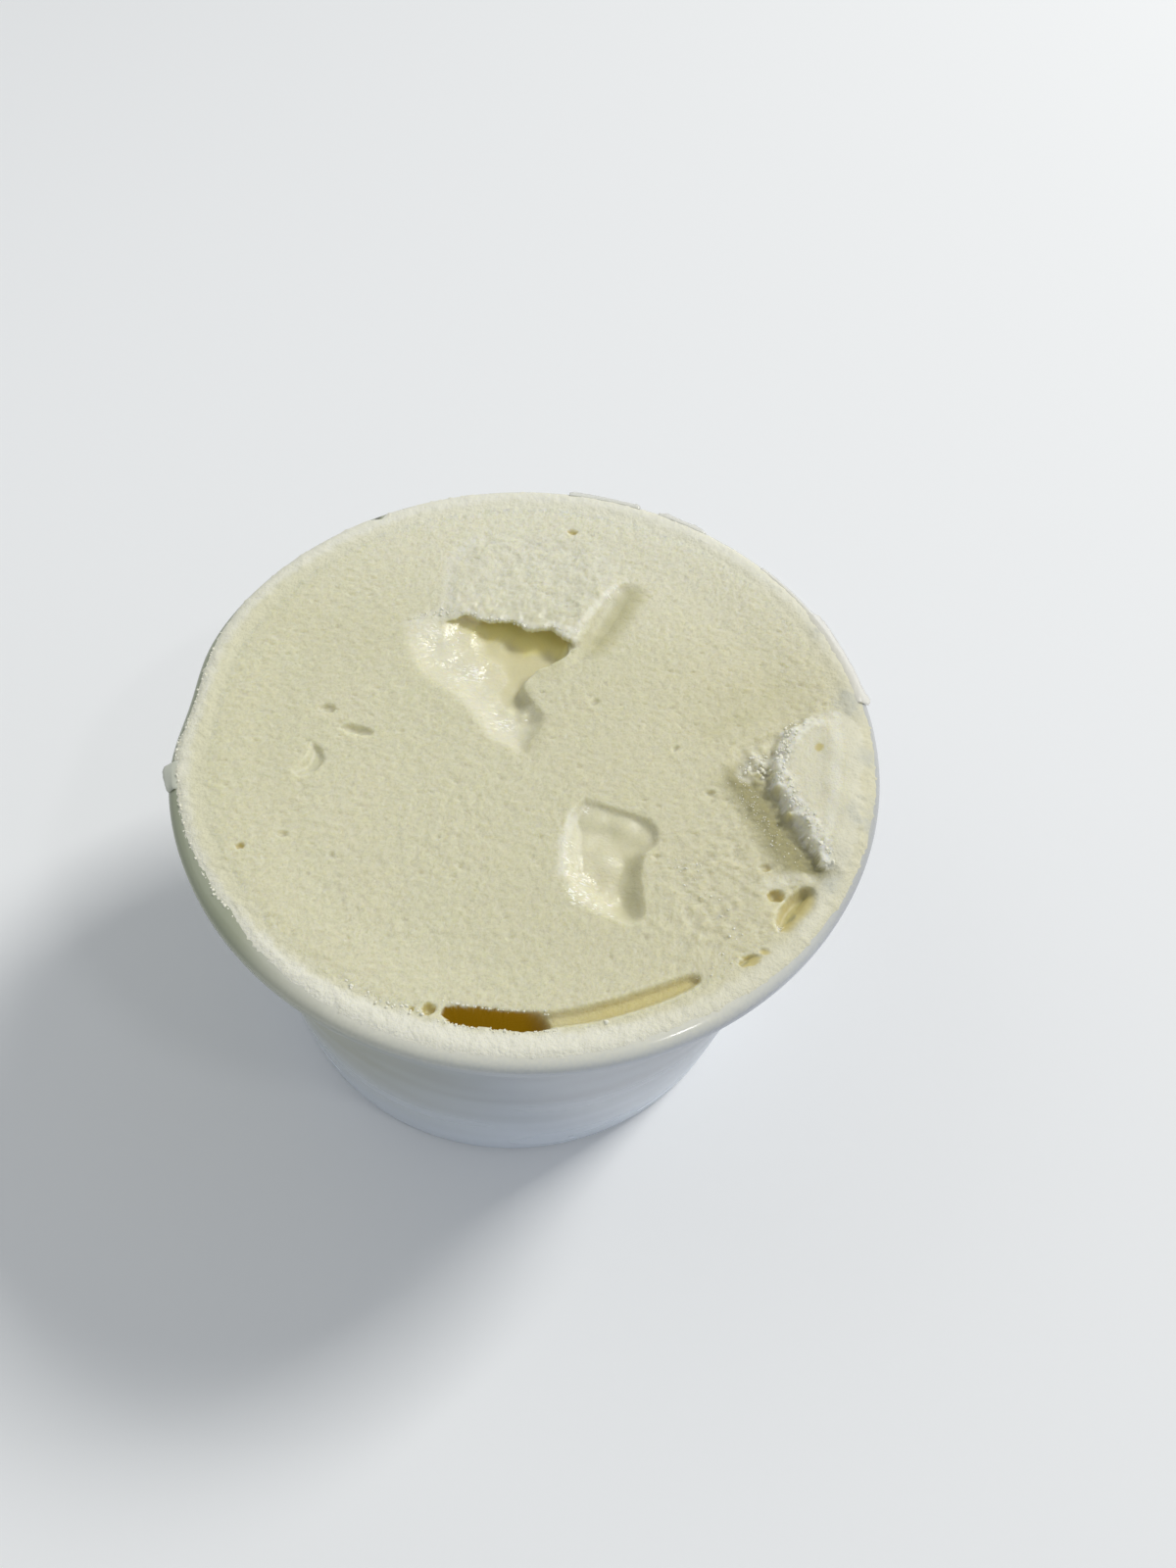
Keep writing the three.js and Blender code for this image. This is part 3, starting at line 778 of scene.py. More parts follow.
# Air holes: place, half-length, half-width, depth and the direction that they stretch along.
AIR_HOLES = [
    (-22.5, -0.3, 0.95, 0.6, 0.6, 5), (-18.8, -2.6, 1.75, 0.65, 0.7, -5),
    (-26.4, -18.8, 0.45, 0.4, 0.5, 30),
    (-22.8, -16.6, 0.5, 0.4, 0.4, 20), (5.9, 5.4, 0.6, 0.4, 0.4, 45), (15.4, 0.5, 0.5, 0.3, 0.4, 60),
    (19.6, -4.6, 0.5, 0.35, 0.4, 20), (25.9, -12.9, 0.65, 0.55, 0.5, 0), (27.1, -16.1, 0.85, 0.75, 0.9, 0),
    (24.9, -23.7, 1.1, 0.6, 0.8, 25), (26.3, -22.6, 0.5, 0.35, 0.4, 0), (-4.5, -33.1, 0.65, 0.6, 0.8, 0),
    (-6.1, -33.3, 0.3, 0.25, 0.4, 0), (-0.2, 30.9, 0.7, 0.35, 0.4, 0), (30.9, 2.8, 0.6, 0.5, 0.5, 70),
    (28.6, -1.0, 0.5, 0.25, 0.3, 0), (14.7, -13.2, 0.35, 0.25, 0.3, 0), (-17.5, -18.2, 0.4, 0.3, 0.25, 0),
    (-4.7, -9.0, 0.7, 0.4, 0.12, 20),
]
print(len(RISES), "rises,", len(AIR_HOLES), "air holes")

# %% Two odd holes
CRESCENT = [
    (-23.0, -4.9), (-21.6, -5.7), (-21.0, -7.2), (-21.7, -8.6), (-23.2, -9.6), (-24.0, -8.8),
    (-23.2, -7.4), (-22.9, -6.2),
]
CRESCENT_SOUNDINGS = [(-22.3, -6.4, 0.7, 0.7), (-22.4, -7.8, 0.8, 0.9), (-23.3, -8.9, 0.5, 1.1)]
LONG_HOLE = [
    (29.8, -14.7), (31.0, -15.0), (31.2, -16.4), (30.6, -17.8), (29.7, -18.9), (28.9, -20.0),
    (27.7, -20.2), (27.1, -19.2), (27.4, -17.6), (28.4, -16.0),
]
LONG_HOLE_SOUNDINGS = [(30.2, -16.0, 1.1, 0.8), (29.2, -17.6, 0.9, 0.9), (28.0, -19.2, 0.7, 1.0)]
describe("crescent", CRESCENT, CRESCENT_SOUNDINGS)
describe("long hole", LONG_HOLE, LONG_HOLE_SOUNDINGS)

# %% Slot outline
# The slot that has opened along the wall at the front, by azimuth in degrees and radius.
SLOT_INNER = [
    (-95.0, 32.7), (-93, 32.35), (-86, 32.25), (-80, 32.25), (-72, 31.95), (-63.4, 31.7), (-57, 31.85),
    (-53.4, 32.15),
]
SLOT_OUTER = [
    (-51.9, 33.0), (-53, 33.75), (-58.5, 33.9), (-64.7, 33.9), (-70.5, 34.0), (-78, 34.15), (-83.5, 34.25),
    (-91.7, 34.15), (-94.6, 34.0), (-95.9, 33.4),
]
SLOT_STEP = -26.9  # x + y of the diagonal where it gets shallow
SLOT_STEP_WIDTH = 2.2
print("slot: from", SLOT_OUTER[-1][0], "to", SLOT_OUTER[0][0], "degrees")

# %% [markdown]
# ### From plan to relief
#
# The skin is worked out in a few passes: the levelled top and the flap on it, the melted hollows,
# the tear and the mound, the scoop under the flap, the frosted rim, and last the slot. A heap that
# stands over a hollow covers it, so each pass mixes the level so far with the new one, by the share
# of the wall that is reached.

# %% Patches and bands of colour
# Soft round patches: place and radius.
CRUMBLY_PLACES = [(20, -18, 8), (30, -19, 5), (23, -7, 4), (22, -12, 5), (33, 12, 5)]
# Painted tan shade: round the tear, in the scoop's tail, down the furrow and in the dent's right trough.
TAN_SHADE_PLACES = [
    (20, 6, 5), (25.5, 9.5, 4.5), (21.5, -3.5, 3), (25.6, -9.4, 2.5), (29.8, -13.9, 2.5), (0, 9.6, 2.2),
]
# Soft bands: width, strength and the line that they follow.
TAN_SHADE_LINES = [
    (2.2, 1.0, [(8.2, 22.0), (7.3, 19.0), (6.0, 15.8), (4.9, 13.6)]),
    (2.6, 0.45, [(23.6, -1.6), (24.6, -5.0), (26.8, -8.6), (28.6, -11.4), (30.8, -13.2)]),
    (1.5, 0.7, [(12.2, -13.8), (12.4, -16.4), (13.0, -19.6)]),
]
# Painted shade where a hollow is darkest, most of all in the trench that was torn along the mound.
DARK_SHADE_LINES = [
    (3.0, 0.85, [(23.2, -2.6), (24.3, -4.3), (25.7, -6.6), (27.2, -8.8), (28.6, -10.8), (30.3, -12.6)]),
    (2.0, 0.60, [(24.0, -2.8), (25.2, -4.3), (26.6, -6.3), (28.1, -8.3), (29.4, -10.3), (30.9, -12.2)]),
    (1.3, 0.16, [(-1.9, 5.4), (-1.1, 3.6), (0.1, 2.0), (0.2, 0.0), (-0.4, -1.8)]),
    (1.3, 0.13, [(12.6, -14.0), (13.0, -16.5), (13.2, -19.6)]),
    (1.0, 0.22, [(30.9, -15.4), (30.6, -16.8)]),
]
ICY_PLACES = [
    (36.2, -5.2, 2.6), (35.2, 10.4, 3.5), (36.4, 2.5, 1.6), (32.9, -13.8, 1.6), (34.2, -11.0, 1.2),
    (31.5, 20.5, 2.5),
]
GLAZED_PLACES = [(2.6, 14.2, 1.3), (4.3, 17.4, 1.1), (5.4, 20.6, 1.1), (-14.4, 13.7, 1.2)]
# Lines of frost, and of painted light and highlights, in the same way: width, whiteness and line.
FROST_AND_LIGHT_LINES = [
    (1.2, 0.6, [(-16.2, 13.2), (-14.4, 14.4), (-12.4, 15.5)]),
    (1.2, 0.6, [(-12.6, 16.2), (-13.2, 20.0), (-13.6, 24.0), (-11.4, 27.6)]),
    # The flap's right crest, in two lines: frost with a painted highlight.
    (0.9, 0.9, [(-0.4, 15.4), (1.2, 14.8), (2.3, 14.8)]),
    (0.6, 0.9, [(2.3, 14.8), (3.4, 17.6), (4.8, 20.6), (6.1, 22.8)]),
    # Painted light on the dent's left slope, which faces the lamp.
    (0.7, 0.7, [(5.6, -9.4), (5.1, -13.0), (5.5, -16.6)]),
    (1.2, 0.75, [(32.6, 7.5), (32.8, 2.0), (32.7, -3.0), (31.9, -8.6)]),
    # Painted light on the scoop's left slope, which faces the lamp.
    (2.8, 0.35, [(-14.2, 12.0), (-11.6, 9.8), (-8.4, 7.2), (-5.8, 3.2), (-3.2, 0.4)]),
    # A painted highlight on the rise in the dent.
    (1.0, 0.15, [(9.6, -14.0), (10.4, -14.8)]),
    (1.3, 0.45, [(23.2, -1.4), (24.0, 0.4), (24.9, 0.8)]),
    (1.1, 0.45, [(26.4, -14.8), (28.6, -14.0), (30.6, -13.7)]),
    (1.4, 0.50, [(32.2, -14.8), (31.5, -17.4), (30.0, -20.0)]),
]
# Where white glints are painted on, as ice crystals that catch the lamp: place and radius.
GLINT_PLACES = [
    (5.7, -13.2, 0.7), (6.0, -14.9, 0.8), (6.4, -16.4, 0.7), (6.6, -18.3, 1.0), (7.5, -19.3, 1.0),
    (8.4, -18.4, 0.7), (9.4, -19.9, 0.7), (10.6, -18.8, 0.5), (6.9, -8.6, 0.5), (10.2, -13.9, 0.4),
    (-13.7, 12.8, 0.9), (-10.7, 12.5, 0.5), (-8.6, 8.0, 1.5), (-10.0, 6.2, 0.9), (-6.9, 7.6, 0.8),
    (7.6, -16.8, 0.8), (11.0, -20.4, 0.4),
    (-3.4, 1.2, 1.2), (-1.4, 2.3, 0.5), (2.3, 14.8, 0.5), (5.3, 21.2, 0.6), (6.2, 22.6, 0.4),
    (27.7, -19.5, 0.6),
]
print(len(GLINT_PLACES), "glinting places,", len(FROST_AND_LIGHT_LINES), "lines of frost")


# %% Masks from places and lines
def patched(x, y, places):
    """A mask of soft round patches."""
    return np.clip(sum(eased(1.3 - np.hypot(x - px, y - py) / size) for px, py, size in places), 0, 1)


def banded(x, y, lines):
    """A mask of soft bands along lines."""
    mask = np.zeros(x.shape)
    for width, strength, line in lines:
        for start, end in zip(line, line[1:]):
            away = np.sqrt(squared_distance(start, end, x, y))
            mask = np.maximum(mask, strength * eased(1.2 - away / width))
    return mask


def blended(level, share, other):
    """A level mixed with another by a share."""
    return level * (1 - share) + other * share


two_places = np.array([24.3, 15.0]), np.array([-4.3, -10.0])
print("dark in the trench and far from it:", banded(*two_places, DARK_SHADE_LINES).round(2))

# %% Levelled top
WAVE_HEIGHT = 0.1
WAVE_LENGTH = 15
SKIN_GRIT = 0.08  # height of the fine unevenness of the levelled top
CRUMBLY_GRIT = 0.22
RIM_RISE = 0.5  # how much higher the top stands at the rim than in the middle
RISE_FROM = 27  # radius where that rise begins
RISE_WIDTH = 7
SCRAPE_HEIGHT = 0.16  # on the dry face of the flap


def waves(x, y):
    """The slow rise and fall of the levelled top."""
    u, v = x / WAVE_LENGTH, y / WAVE_LENGTH
    return WAVE_HEIGHT * (np.sin(u + 1) * np.cos(v - 0.5) + 0.5 * np.sin(u + 2 * v))


def levelled_top(x, y, crumbly):
    """Levels of the dry top, with the flap lying on it."""
    fine = SKIN_GRIT * grit(x * 0.75, y, 0.5, 3)
    coarse = CRUMBLY_GRIT * crumbly * grit(x, y, 0.9, 6, 4)
    rise = RIM_RISE * eased((np.hypot(x, y) - RISE_FROM) / RISE_WIDTH)
    flap, flap_height = form(FLAP, FLAP_SOUNDINGS, x, y, ragged=0.15, grain_size=0.8)
    scrapes = SCRAPE_HEIGHT * (0.5 * grit(x * 0.35, y, 0.8, 14) + grit(x, y, 0.9, 15, 4))
    return waves(x, y) + rise + fine + coarse - pores(x, y) + flap * (flap_height + scrapes), flap


# %% Pores and air holes
PORES = 1700
PORE_SIZES = (0.1, 0.26)
PORE_DEPTH = 0.7  # as a share of its size
PORE_STRETCH = 1.5
PORE_REACH = 34.5
print(PORES, "pores, up to", PORE_DEPTH * PORE_SIZES[1], "mm deep")


def pores(x, y):
    """Depth of the pinholes that freezing leaves all over the top."""
    draw = np.random.default_rng(21)
    depth = np.zeros(x.shape)
    for _ in range(PORES):
        distance, azimuth = PORE_REACH * math.sqrt(draw.random()), 2 * math.pi * draw.random()
        size = PORE_SIZES[0] + (PORE_SIZES[1] - PORE_SIZES[0]) * draw.random() ** 3
        px, py = distance * math.cos(azimuth), distance * math.sin(azimuth)
        away = ((x - px) / PORE_STRETCH) ** 2 + (y - py) ** 2
        near = np.flatnonzero(away < size**2)
        depth[near] = np.maximum(depth[near], PORE_DEPTH * size * (1 - away[near] / size**2))
    return depth


def air_holes(x, y):
    """Depth of the larger open bubbles."""
    depth = np.zeros(x.shape)
    for px, py, half_length, half_width, deep, turn in AIR_HOLES:
        c, s = math.cos(math.radians(turn)), math.sin(math.radians(turn))
        along, across = (x - px) * c + (y - py) * s, (y - py) * c - (x - px) * s
        away = np.hypot(along / half_length, across / half_width) + 0.1 * lumps(x, y, 0.5, 8)
        depth = np.maximum(depth, deep * np.sqrt(np.clip(1 - away**2, 0, 1)))
    return depth


# %% [markdown]
# Melted hollows are smooth inside, with small ripples on their broad slopes. The tear is rough, and
# the mound beyond it is a slab that was pushed against the rim, with a crumbling edge.

# %% Ripples and rises
RIPPLE_HEIGHT = 0.04
RIPPLE_TURN = math.radians(25)
RIPPLED_WIDTH = 1.5  # a wall wider than this, in mm, has ripples
STILL_RIPPLES = 0.15  # share of the ripples that other melted places keep


def ripples(x, y):
    """Small ripples, longer towards the back right than across."""
    along = x * math.cos(RIPPLE_TURN) + y * math.sin(RIPPLE_TURN)
    across = y * math.cos(RIPPLE_TURN) - x * math.sin(RIPPLE_TURN)
    return RIPPLE_HEIGHT * grit(along * 0.6, across, 0.9, 17, 2)


def broad_slopes(share, width):
    """A mask of the wide slopes of a hollow, from its wall's share and width."""
    return eased(share / 0.3) * eased((width - RIPPLED_WIDTH) / 1.0)


def rises(x, y):
    """Height of the small rises inside the hollows."""
    total = np.zeros(x.shape)
    for px, py, size, height in RISES:
        total += height * np.exp(-((x - px) ** 2 + (y - py) ** 2) / (0.75 * size) ** 2)
    return total


# %% Melted hollows
# Outline, soundings, how glazed it is, and whether its slopes are rippled.
HOLLOWS = [
    (FURROW, FURROW_SOUNDINGS, 0.45, 0),
    (DENT, DENT_SOUNDINGS, 1.0, 1),
    (CRESCENT, CRESCENT_SOUNDINGS, 1.0, 1),
    (LONG_HOLE, LONG_HOLE_SOUNDINGS, 1.0, 1),
]
SHADED_HOLES_FROM = 28  # air holes further out than this are painted with the trough's colour, as their shade


def hollowed(level, x, y):
    """The level after the furrow, the dent and the odd holes, with masks of what is glazed."""
    glazed, rippled = np.zeros(x.shape), np.zeros(x.shape)
    for outline, soundings, gloss, has_ripples in HOLLOWS:
        share, depth = form(outline, soundings, x, y, ragged=0.04, grain_size=0.5)
        broad = has_ripples * broad_slopes(share, sounded(soundings, x, y)[1])
        rippling = STILL_RIPPLES + (1 - STILL_RIPPLES) * broad
        level = blended(level, share, ripples(x, y) * rippling + rises(x, y) - depth)
        glazed = np.maximum(glazed, share * gloss)
        rippled = np.maximum(rippled, broad)
    holes = air_holes(x, y)
    in_hole = np.clip(3 * holes, 0, 1)
    long_hole, _ = form(LONG_HOLE, LONG_HOLE_SOUNDINGS, x, y)
    shaded_holes = np.maximum(long_hole, in_hole * eased((np.hypot(x, y) - SHADED_HOLES_FROM) / 2))
    return level - holes, np.maximum(glazed, in_hole), rippled, shaded_holes


# %% Torn ground and mound
TORN_GRIT = 0.15
HEAP_GRIT = 0.6  # broken lumps at the back end of the trench
HEAP_PLACES = [(24.3, -0.1, 1.8)]
CLIFF_BAND = 2.8  # how far the crumbling edge of the mound reaches in from its foot
CLIFF_FADE = 1.6
CLIFF_FOOT = 0.4
CLIFF_ENDS = (33.4, 8)  # it ends before this X and this Y
CLIFF_GRIT = 0.25
TOP_GRIT = 0.05  # on the rest of the mound


def torn(level, x, y):
    """The level after the tear and the mound, and masks of the mound's top and its crumbling edge."""
    tear, tear_depth = form(TEAR, TEAR_SOUNDINGS, x, y, ragged=0.35, grain_size=0.9)
    heap = HEAP_GRIT * patched(x, y, HEAP_PLACES) * grit(x, y, 1.2, 25, 4)
    floor = TORN_GRIT * grit(x, y, 0.9, 19) + heap + rises(x, y) - tear_depth
    mound, mound_height = form(MOUND, MOUND_SOUNDINGS, x, y, ragged=0.75, grain_size=1.5)
    brink = inside_distance(MOUND, x, y) + 0.5 * grit(x, y, 1.1, 24)
    cliff = eased((CLIFF_BAND - brink) / CLIFF_FADE) * eased(brink / CLIFF_FOOT)
    cliff = cliff * eased(CLIFF_ENDS[0] - x) * eased((CLIFF_ENDS[1] - y) / 1.5)
    bits = (TOP_GRIT + CLIFF_GRIT * cliff) * grit(x, y, 0.9, 23, 4)
    level = blended(blended(level, tear, floor), mound, RIM_RISE + mound_height) + bits * mound
    return level, eased((brink - 0.3) / 0.6), cliff


# %% [markdown]
# A height alone can't make an overhang. In front of the flap the points are also slid back under
# it: down the ragged face, in along its underside, down the back of the cavity and out on the floor.

# %% The scoop under the flap
UNDERCUT = 1.7  # how far the cavity reaches in under the flap
UNDERCUT_DEPTHS = (0.8, 2.2)  # depths of the scoop from which it has none to all of it
LIP_ENDS = (-13.0, 3.4)  # X where the lip begins and ends
LIP_FADES = (1.2, 0.6)
# From the flap's edge towards the front: distance from it, place of the same point, share of the
# undercut that is taken off that place, and share of the fall that is reached.
LIP_STEPS = [0, 0.4, 0.7, 1.1, 1.7, 2.2, 3.2]
LIP_PLACES = [0, 0.05, 0.0, 0.0, 0.0, 0.5, 3.2]
LIP_UNDER = [0, 0.0, 0.3, 1.0, 1.0, 0.8, 0.0]
LIP_FALL = [0, 0.26, 0.34, 0.38, 0.9, 1.0, 1.0]
FRINGE = 0.24  # how ragged the flap's edge is
# Both by X: the distance, like in the steps, where the shade ends, and how strong it is.
SHADE_END = ((-8, -3), (2.8, 3.0))
SHADE_STRENGTH = ((-12, -7), (0.4, 1))
SHADE_SOFTNESS = 0.35


def scooped(level, x, y):
    """The level after the scoop, how far each point slides back, and its masks."""
    plain = np.interp(x, *zip(*FLAP_FRONT)) - y
    before = plain + FRINGE * grit(x, 0 * x, 0.45, 31) * (1 - eased((plain - 0.2) / 1.2))
    scoop, _ = form(SCOOP, SCOOP_SOUNDINGS, x, y, ragged=0.08)
    depth, width = sounded(SCOOP_SOUNDINGS, x, y)
    lip = eased((x - LIP_ENDS[0]) / LIP_FADES[0]) * eased((LIP_ENDS[1] - x) / LIP_FADES[1])
    fall = scoop * (1 - lip + lip * np.interp(before, LIP_STEPS, LIP_FALL))
    deep = eased(np.interp(depth, UNDERCUT_DEPTHS, (0, 1)))
    under = UNDERCUT * deep * np.interp(before, LIP_STEPS, LIP_UNDER)
    slid = before - np.interp(before, LIP_STEPS, LIP_PLACES) + under
    in_lip = (before > 0) & (before < LIP_STEPS[-1])
    slide = np.where(in_lip, slid * eased(2 * scoop - 1) * lip, 0)
    broad = broad_slopes(scoop, width)
    floor = ripples(x, y) * broad + rises(x, y) - sounded(SCOOP_SOUNDINGS, x, y + slide)[0]
    face = lip * eased((before + 1.6) / 1.2) * (before <= 0)
    shade = eased((np.interp(x, *SHADE_END) - before) / SHADE_SOFTNESS) * (before > 0.5)
    shade = shade * np.interp(x, *SHADE_STRENGTH) * fall * lip
    return blended(level, fall, floor), slide, scoop, broad, face, shade


# %% [markdown]
# ### Frost on the rim
#
# Frost has crept from the gelato over the crest of the rim. At the left its outer edge is fringed
# with fine spikes and leaves the plastic bare, and at the front and the right it reaches over the
# rim's shoulder. The radius and the whiteness are read from a few azimuths. The outermost ring of
# the grid follows that edge and dips just into the plastic, which leaves no visible seam.

# %% Frost edge
SPIKE_LENGTH = 0.32
# Azimuth, radius of the outer edge, radius where the white begins, whiteness.
FROST_EDGE = [
    (-180, 37.4, 35.3, 0.75), (-168, 37.55, 35.3, 0.75), (-162, 37.7, 35.3, 0.75), (-156, 37.1, 35.3, 0.75),
    (-149, 36.85, 35.2, 0.75), (-142, 36.5, 35.0, 0.8), (-134, 36.3, 34.8, 0.85), (-126, 36.5, 34.6, 0.95),
    (-120, 36.8, 34.4, 1.0), (-100, 36.95, 33.9, 1.0), (-80, 36.95, 33.9, 1.0), (-68, 36.8, 34.0, 0.9),
    (-62, 36.6, 34.2, 0.7), (-56, 36.6, 34.4, 0.6), (-50, 36.9, 34.4, 0.5), (-30, 37.3, 34.6, 0.3),
    (-10, 37.4, 35.0, 0.15), (15, 37.3, 35.0, 0.15), (35, 37.2, 35.0, 0.5), (60, 37.4, 34.9, 0.95),
    (120, 37.6, 34.9, 1.0), (127.5, 37.6, 34.9, 1.0), (129.5, 36.7, 34.9, 1.0), (131.5, 37.6, 34.9, 1.0),
    (150, 37.7, 35.1, 0.85), (162, 37.7, 35.3, 0.8), (170, 37.35, 35.3, 0.75),
    (180, 37.4, 35.3, 0.75),
]


def from_table(azimuth, column):
    """A column of the frost table at azimuths in radians."""
    azimuths, values = [row[0] for row in FROST_EDGE], [row[column] for row in FROST_EDGE]
    return np.interp(np.degrees(azimuth), azimuths, values)


def frost_edge(azimuth):
    """Radius of the frost's outer edge, azimuth in radians."""
    # Noise is read on a circle, so that it meets where the turn ends.
    x, y = polar(RIM_CREST, azimuth)
    spikes = np.clip(lumps(x, y, 0.35, 41), 0, 1) ** 2
    return from_table(azimuth, 1) + 0.12 * lumps(x, y, 1.6, 42) + SPIKE_LENGTH * spikes


print("frost reaches, from the front round:", frost_edge(np.radians([-90, 0, 90, 180])).round(2), "mm")

# %% Frost over the rim
FROST_THICKNESS = 0.16
FROST_SINK = 0.03  # how far its outer edge dips into the plastic
FROST_TAPER = 0.5  # mm over which it thins out at that edge
FROST_FROM = 33.4  # radius where it begins to follow the rim
FROST_BAND = 0.8  # mm in which it takes over, and in which its outer edge comes down
FROST_SLOPE = 0.8  # how steeply its edge may rise
FROST_MEETING = 0.3  # softness of the line where gelato and frost meet


def higher_of(first, second, softness):
    """The higher of two levels, with their meeting line softened."""
    apart = np.clip(0.5 + (first - second) / (2 * softness), 0, 1)
    return first * apart + second * (1 - apart) + softness * apart * (1 - apart)


def rimed(level, x, y, edge):
    """The level where frost lies over the rim."""
    radius = np.hypot(x, y)
    inset = edge - radius
    uneven = 1 + 0.8 * grit(x, y, 0.9, 27, 4)
    rime = FROST_THICKNESS * uneven * (1 - np.exp(-inset / FROST_TAPER)) - FROST_SINK
    rim_level = rim_top(radius) + rime - FILL_LEVEL
    on_rim = np.clip((radius - FROST_FROM) / FROST_BAND, 0, 1)
    over = higher_of(level * np.clip(inset / FROST_BAND, 0, 1), rim_level, FROST_MEETING)
    level = np.where(on_rim > 0, blended(level, on_rim, over), level)
    highest = rim_level + FROST_SLOPE * np.clip(inset, 0, 1)
    return np.where(inset < FROST_BAND, np.minimum(level, highest), level)


# %% [markdown]
# ### The slot
#
# At the front the gelato has shrunk from the wall. The left part of that gap is deep, and the light
# that reaches it has soaked through the cream, so it is painted dark brown with a faint glow. The
# right part is a shallow trough, painted olive-tan. Down the sheer wall the points are also slid in
# plan, or their rows would lie too far apart.

# %% Slot
SLOT_MIDDLE = 33.1
SLOT_REACH = 34.3
SLOT_TROUGH = -0.42  # level of the floor of the shallow part
SLOT_TROUGH_WALL = 0.6
TROUGH_PALENESS = ((5, 12), (0.55, 1))  # by x: its colour is weaker near the deep part
SOAKED_WIDTH = 3.2  # of the change from brown to cream
WALL_CLEARANCE = 0.28  # between the slot's outer side and the tub
FRONT_SHIFT = 1.6  # how much more the inner side slides back than the outer
SQUEEZE_FROM = 31  # points beyond this radius are kept off the tub's wall
# Down the sheer side: distance from its brink, fall, and the slide back to the brink.
WALL_STEPS = [0, 0.15, 0.3, 0.45, 0.6, 0.9]
WALL_FALLS = [0, 0.45, 1.6, 4.0, 8.0, 12.0]
WALL_SHIFTS = [0, 0.1, 0.25, 0.4, 0.5, 0.1]


def outline_of(polar_points):
    """x and y of points given by azimuth in degrees and radius."""
    return [polar(radius, math.radians(azimuth)) for azimuth, radius in polar_points]


def slotted(level, x, y):
    """The level after the slot, the new radius of each point, and masks of its two parts."""
    radius = np.hypot(x, y)
    raggedness = 0.16 * eased((4.5 - x) / 3) + 0.03  # most at the deep part
    brink = inside_distance(outline_of(SLOT_INNER + SLOT_OUTER), x, y)
    inset = brink + raggedness * grit(x, y, 0.45, 33)
    past_step = x + y - SLOT_STEP
    shallow = eased(past_step / SLOT_STEP_WIDTH + 0.5)
    trough = eased(inset / SLOT_TROUGH_WALL)
    sunk = level - np.interp(inset, WALL_STEPS, WALL_FALLS)
    trough_floor = SLOT_TROUGH + 0.03 * grit(x, y, 0.8, 35)
    new_level = blended(sunk, shallow, blended(level, trough, trough_floor))
    back = np.interp(inset, WALL_STEPS, WALL_SHIFTS) * (1 - shallow)
    new_radius = radius + np.where(radius > SLOT_MIDDLE, back, -FRONT_SHIFT * back)
    height = FILL_LEVEL + new_level
    in_tub = inner_wall(height) - WALL_CLEARANCE
    tub_side = np.where(height < RIM_EDGE_LEVEL, in_tub, SLOT_REACH)
    squeeze = np.clip((new_radius - SQUEEZE_FROM) / (SLOT_REACH - SQUEEZE_FROM), 0, 1)
    squeeze = squeeze * (inset > -0.3) * (1 - shallow)
    new_radius = new_radius - squeeze * np.clip(SLOT_REACH - tub_side, 0, 3)
    fallen = eased((level - new_level - 0.1) / 0.3)
    soaked = (1 - eased(past_step / SOAKED_WIDTH + 0.5)) * fallen
    return new_level, new_radius, soaked * (inset > 0), trough * shallow


# %% The skin
# How white the dry parts are, as shares of pure frost.
MOUND_WHITE = 0.45
FLAP_WHITE = 0.2
FACE_WHITE = 0.55
# Strength of the painted tan shade.
TAN_SHADE_STRENGTH = 0.55
# Painted shade: below the fill a hollow's colour turns darker and yellower with depth.
HOLLOW_SHADE_DEPTHS = (0.6, 2.3)  # below the fill: where a hollow's colour begins, and its range


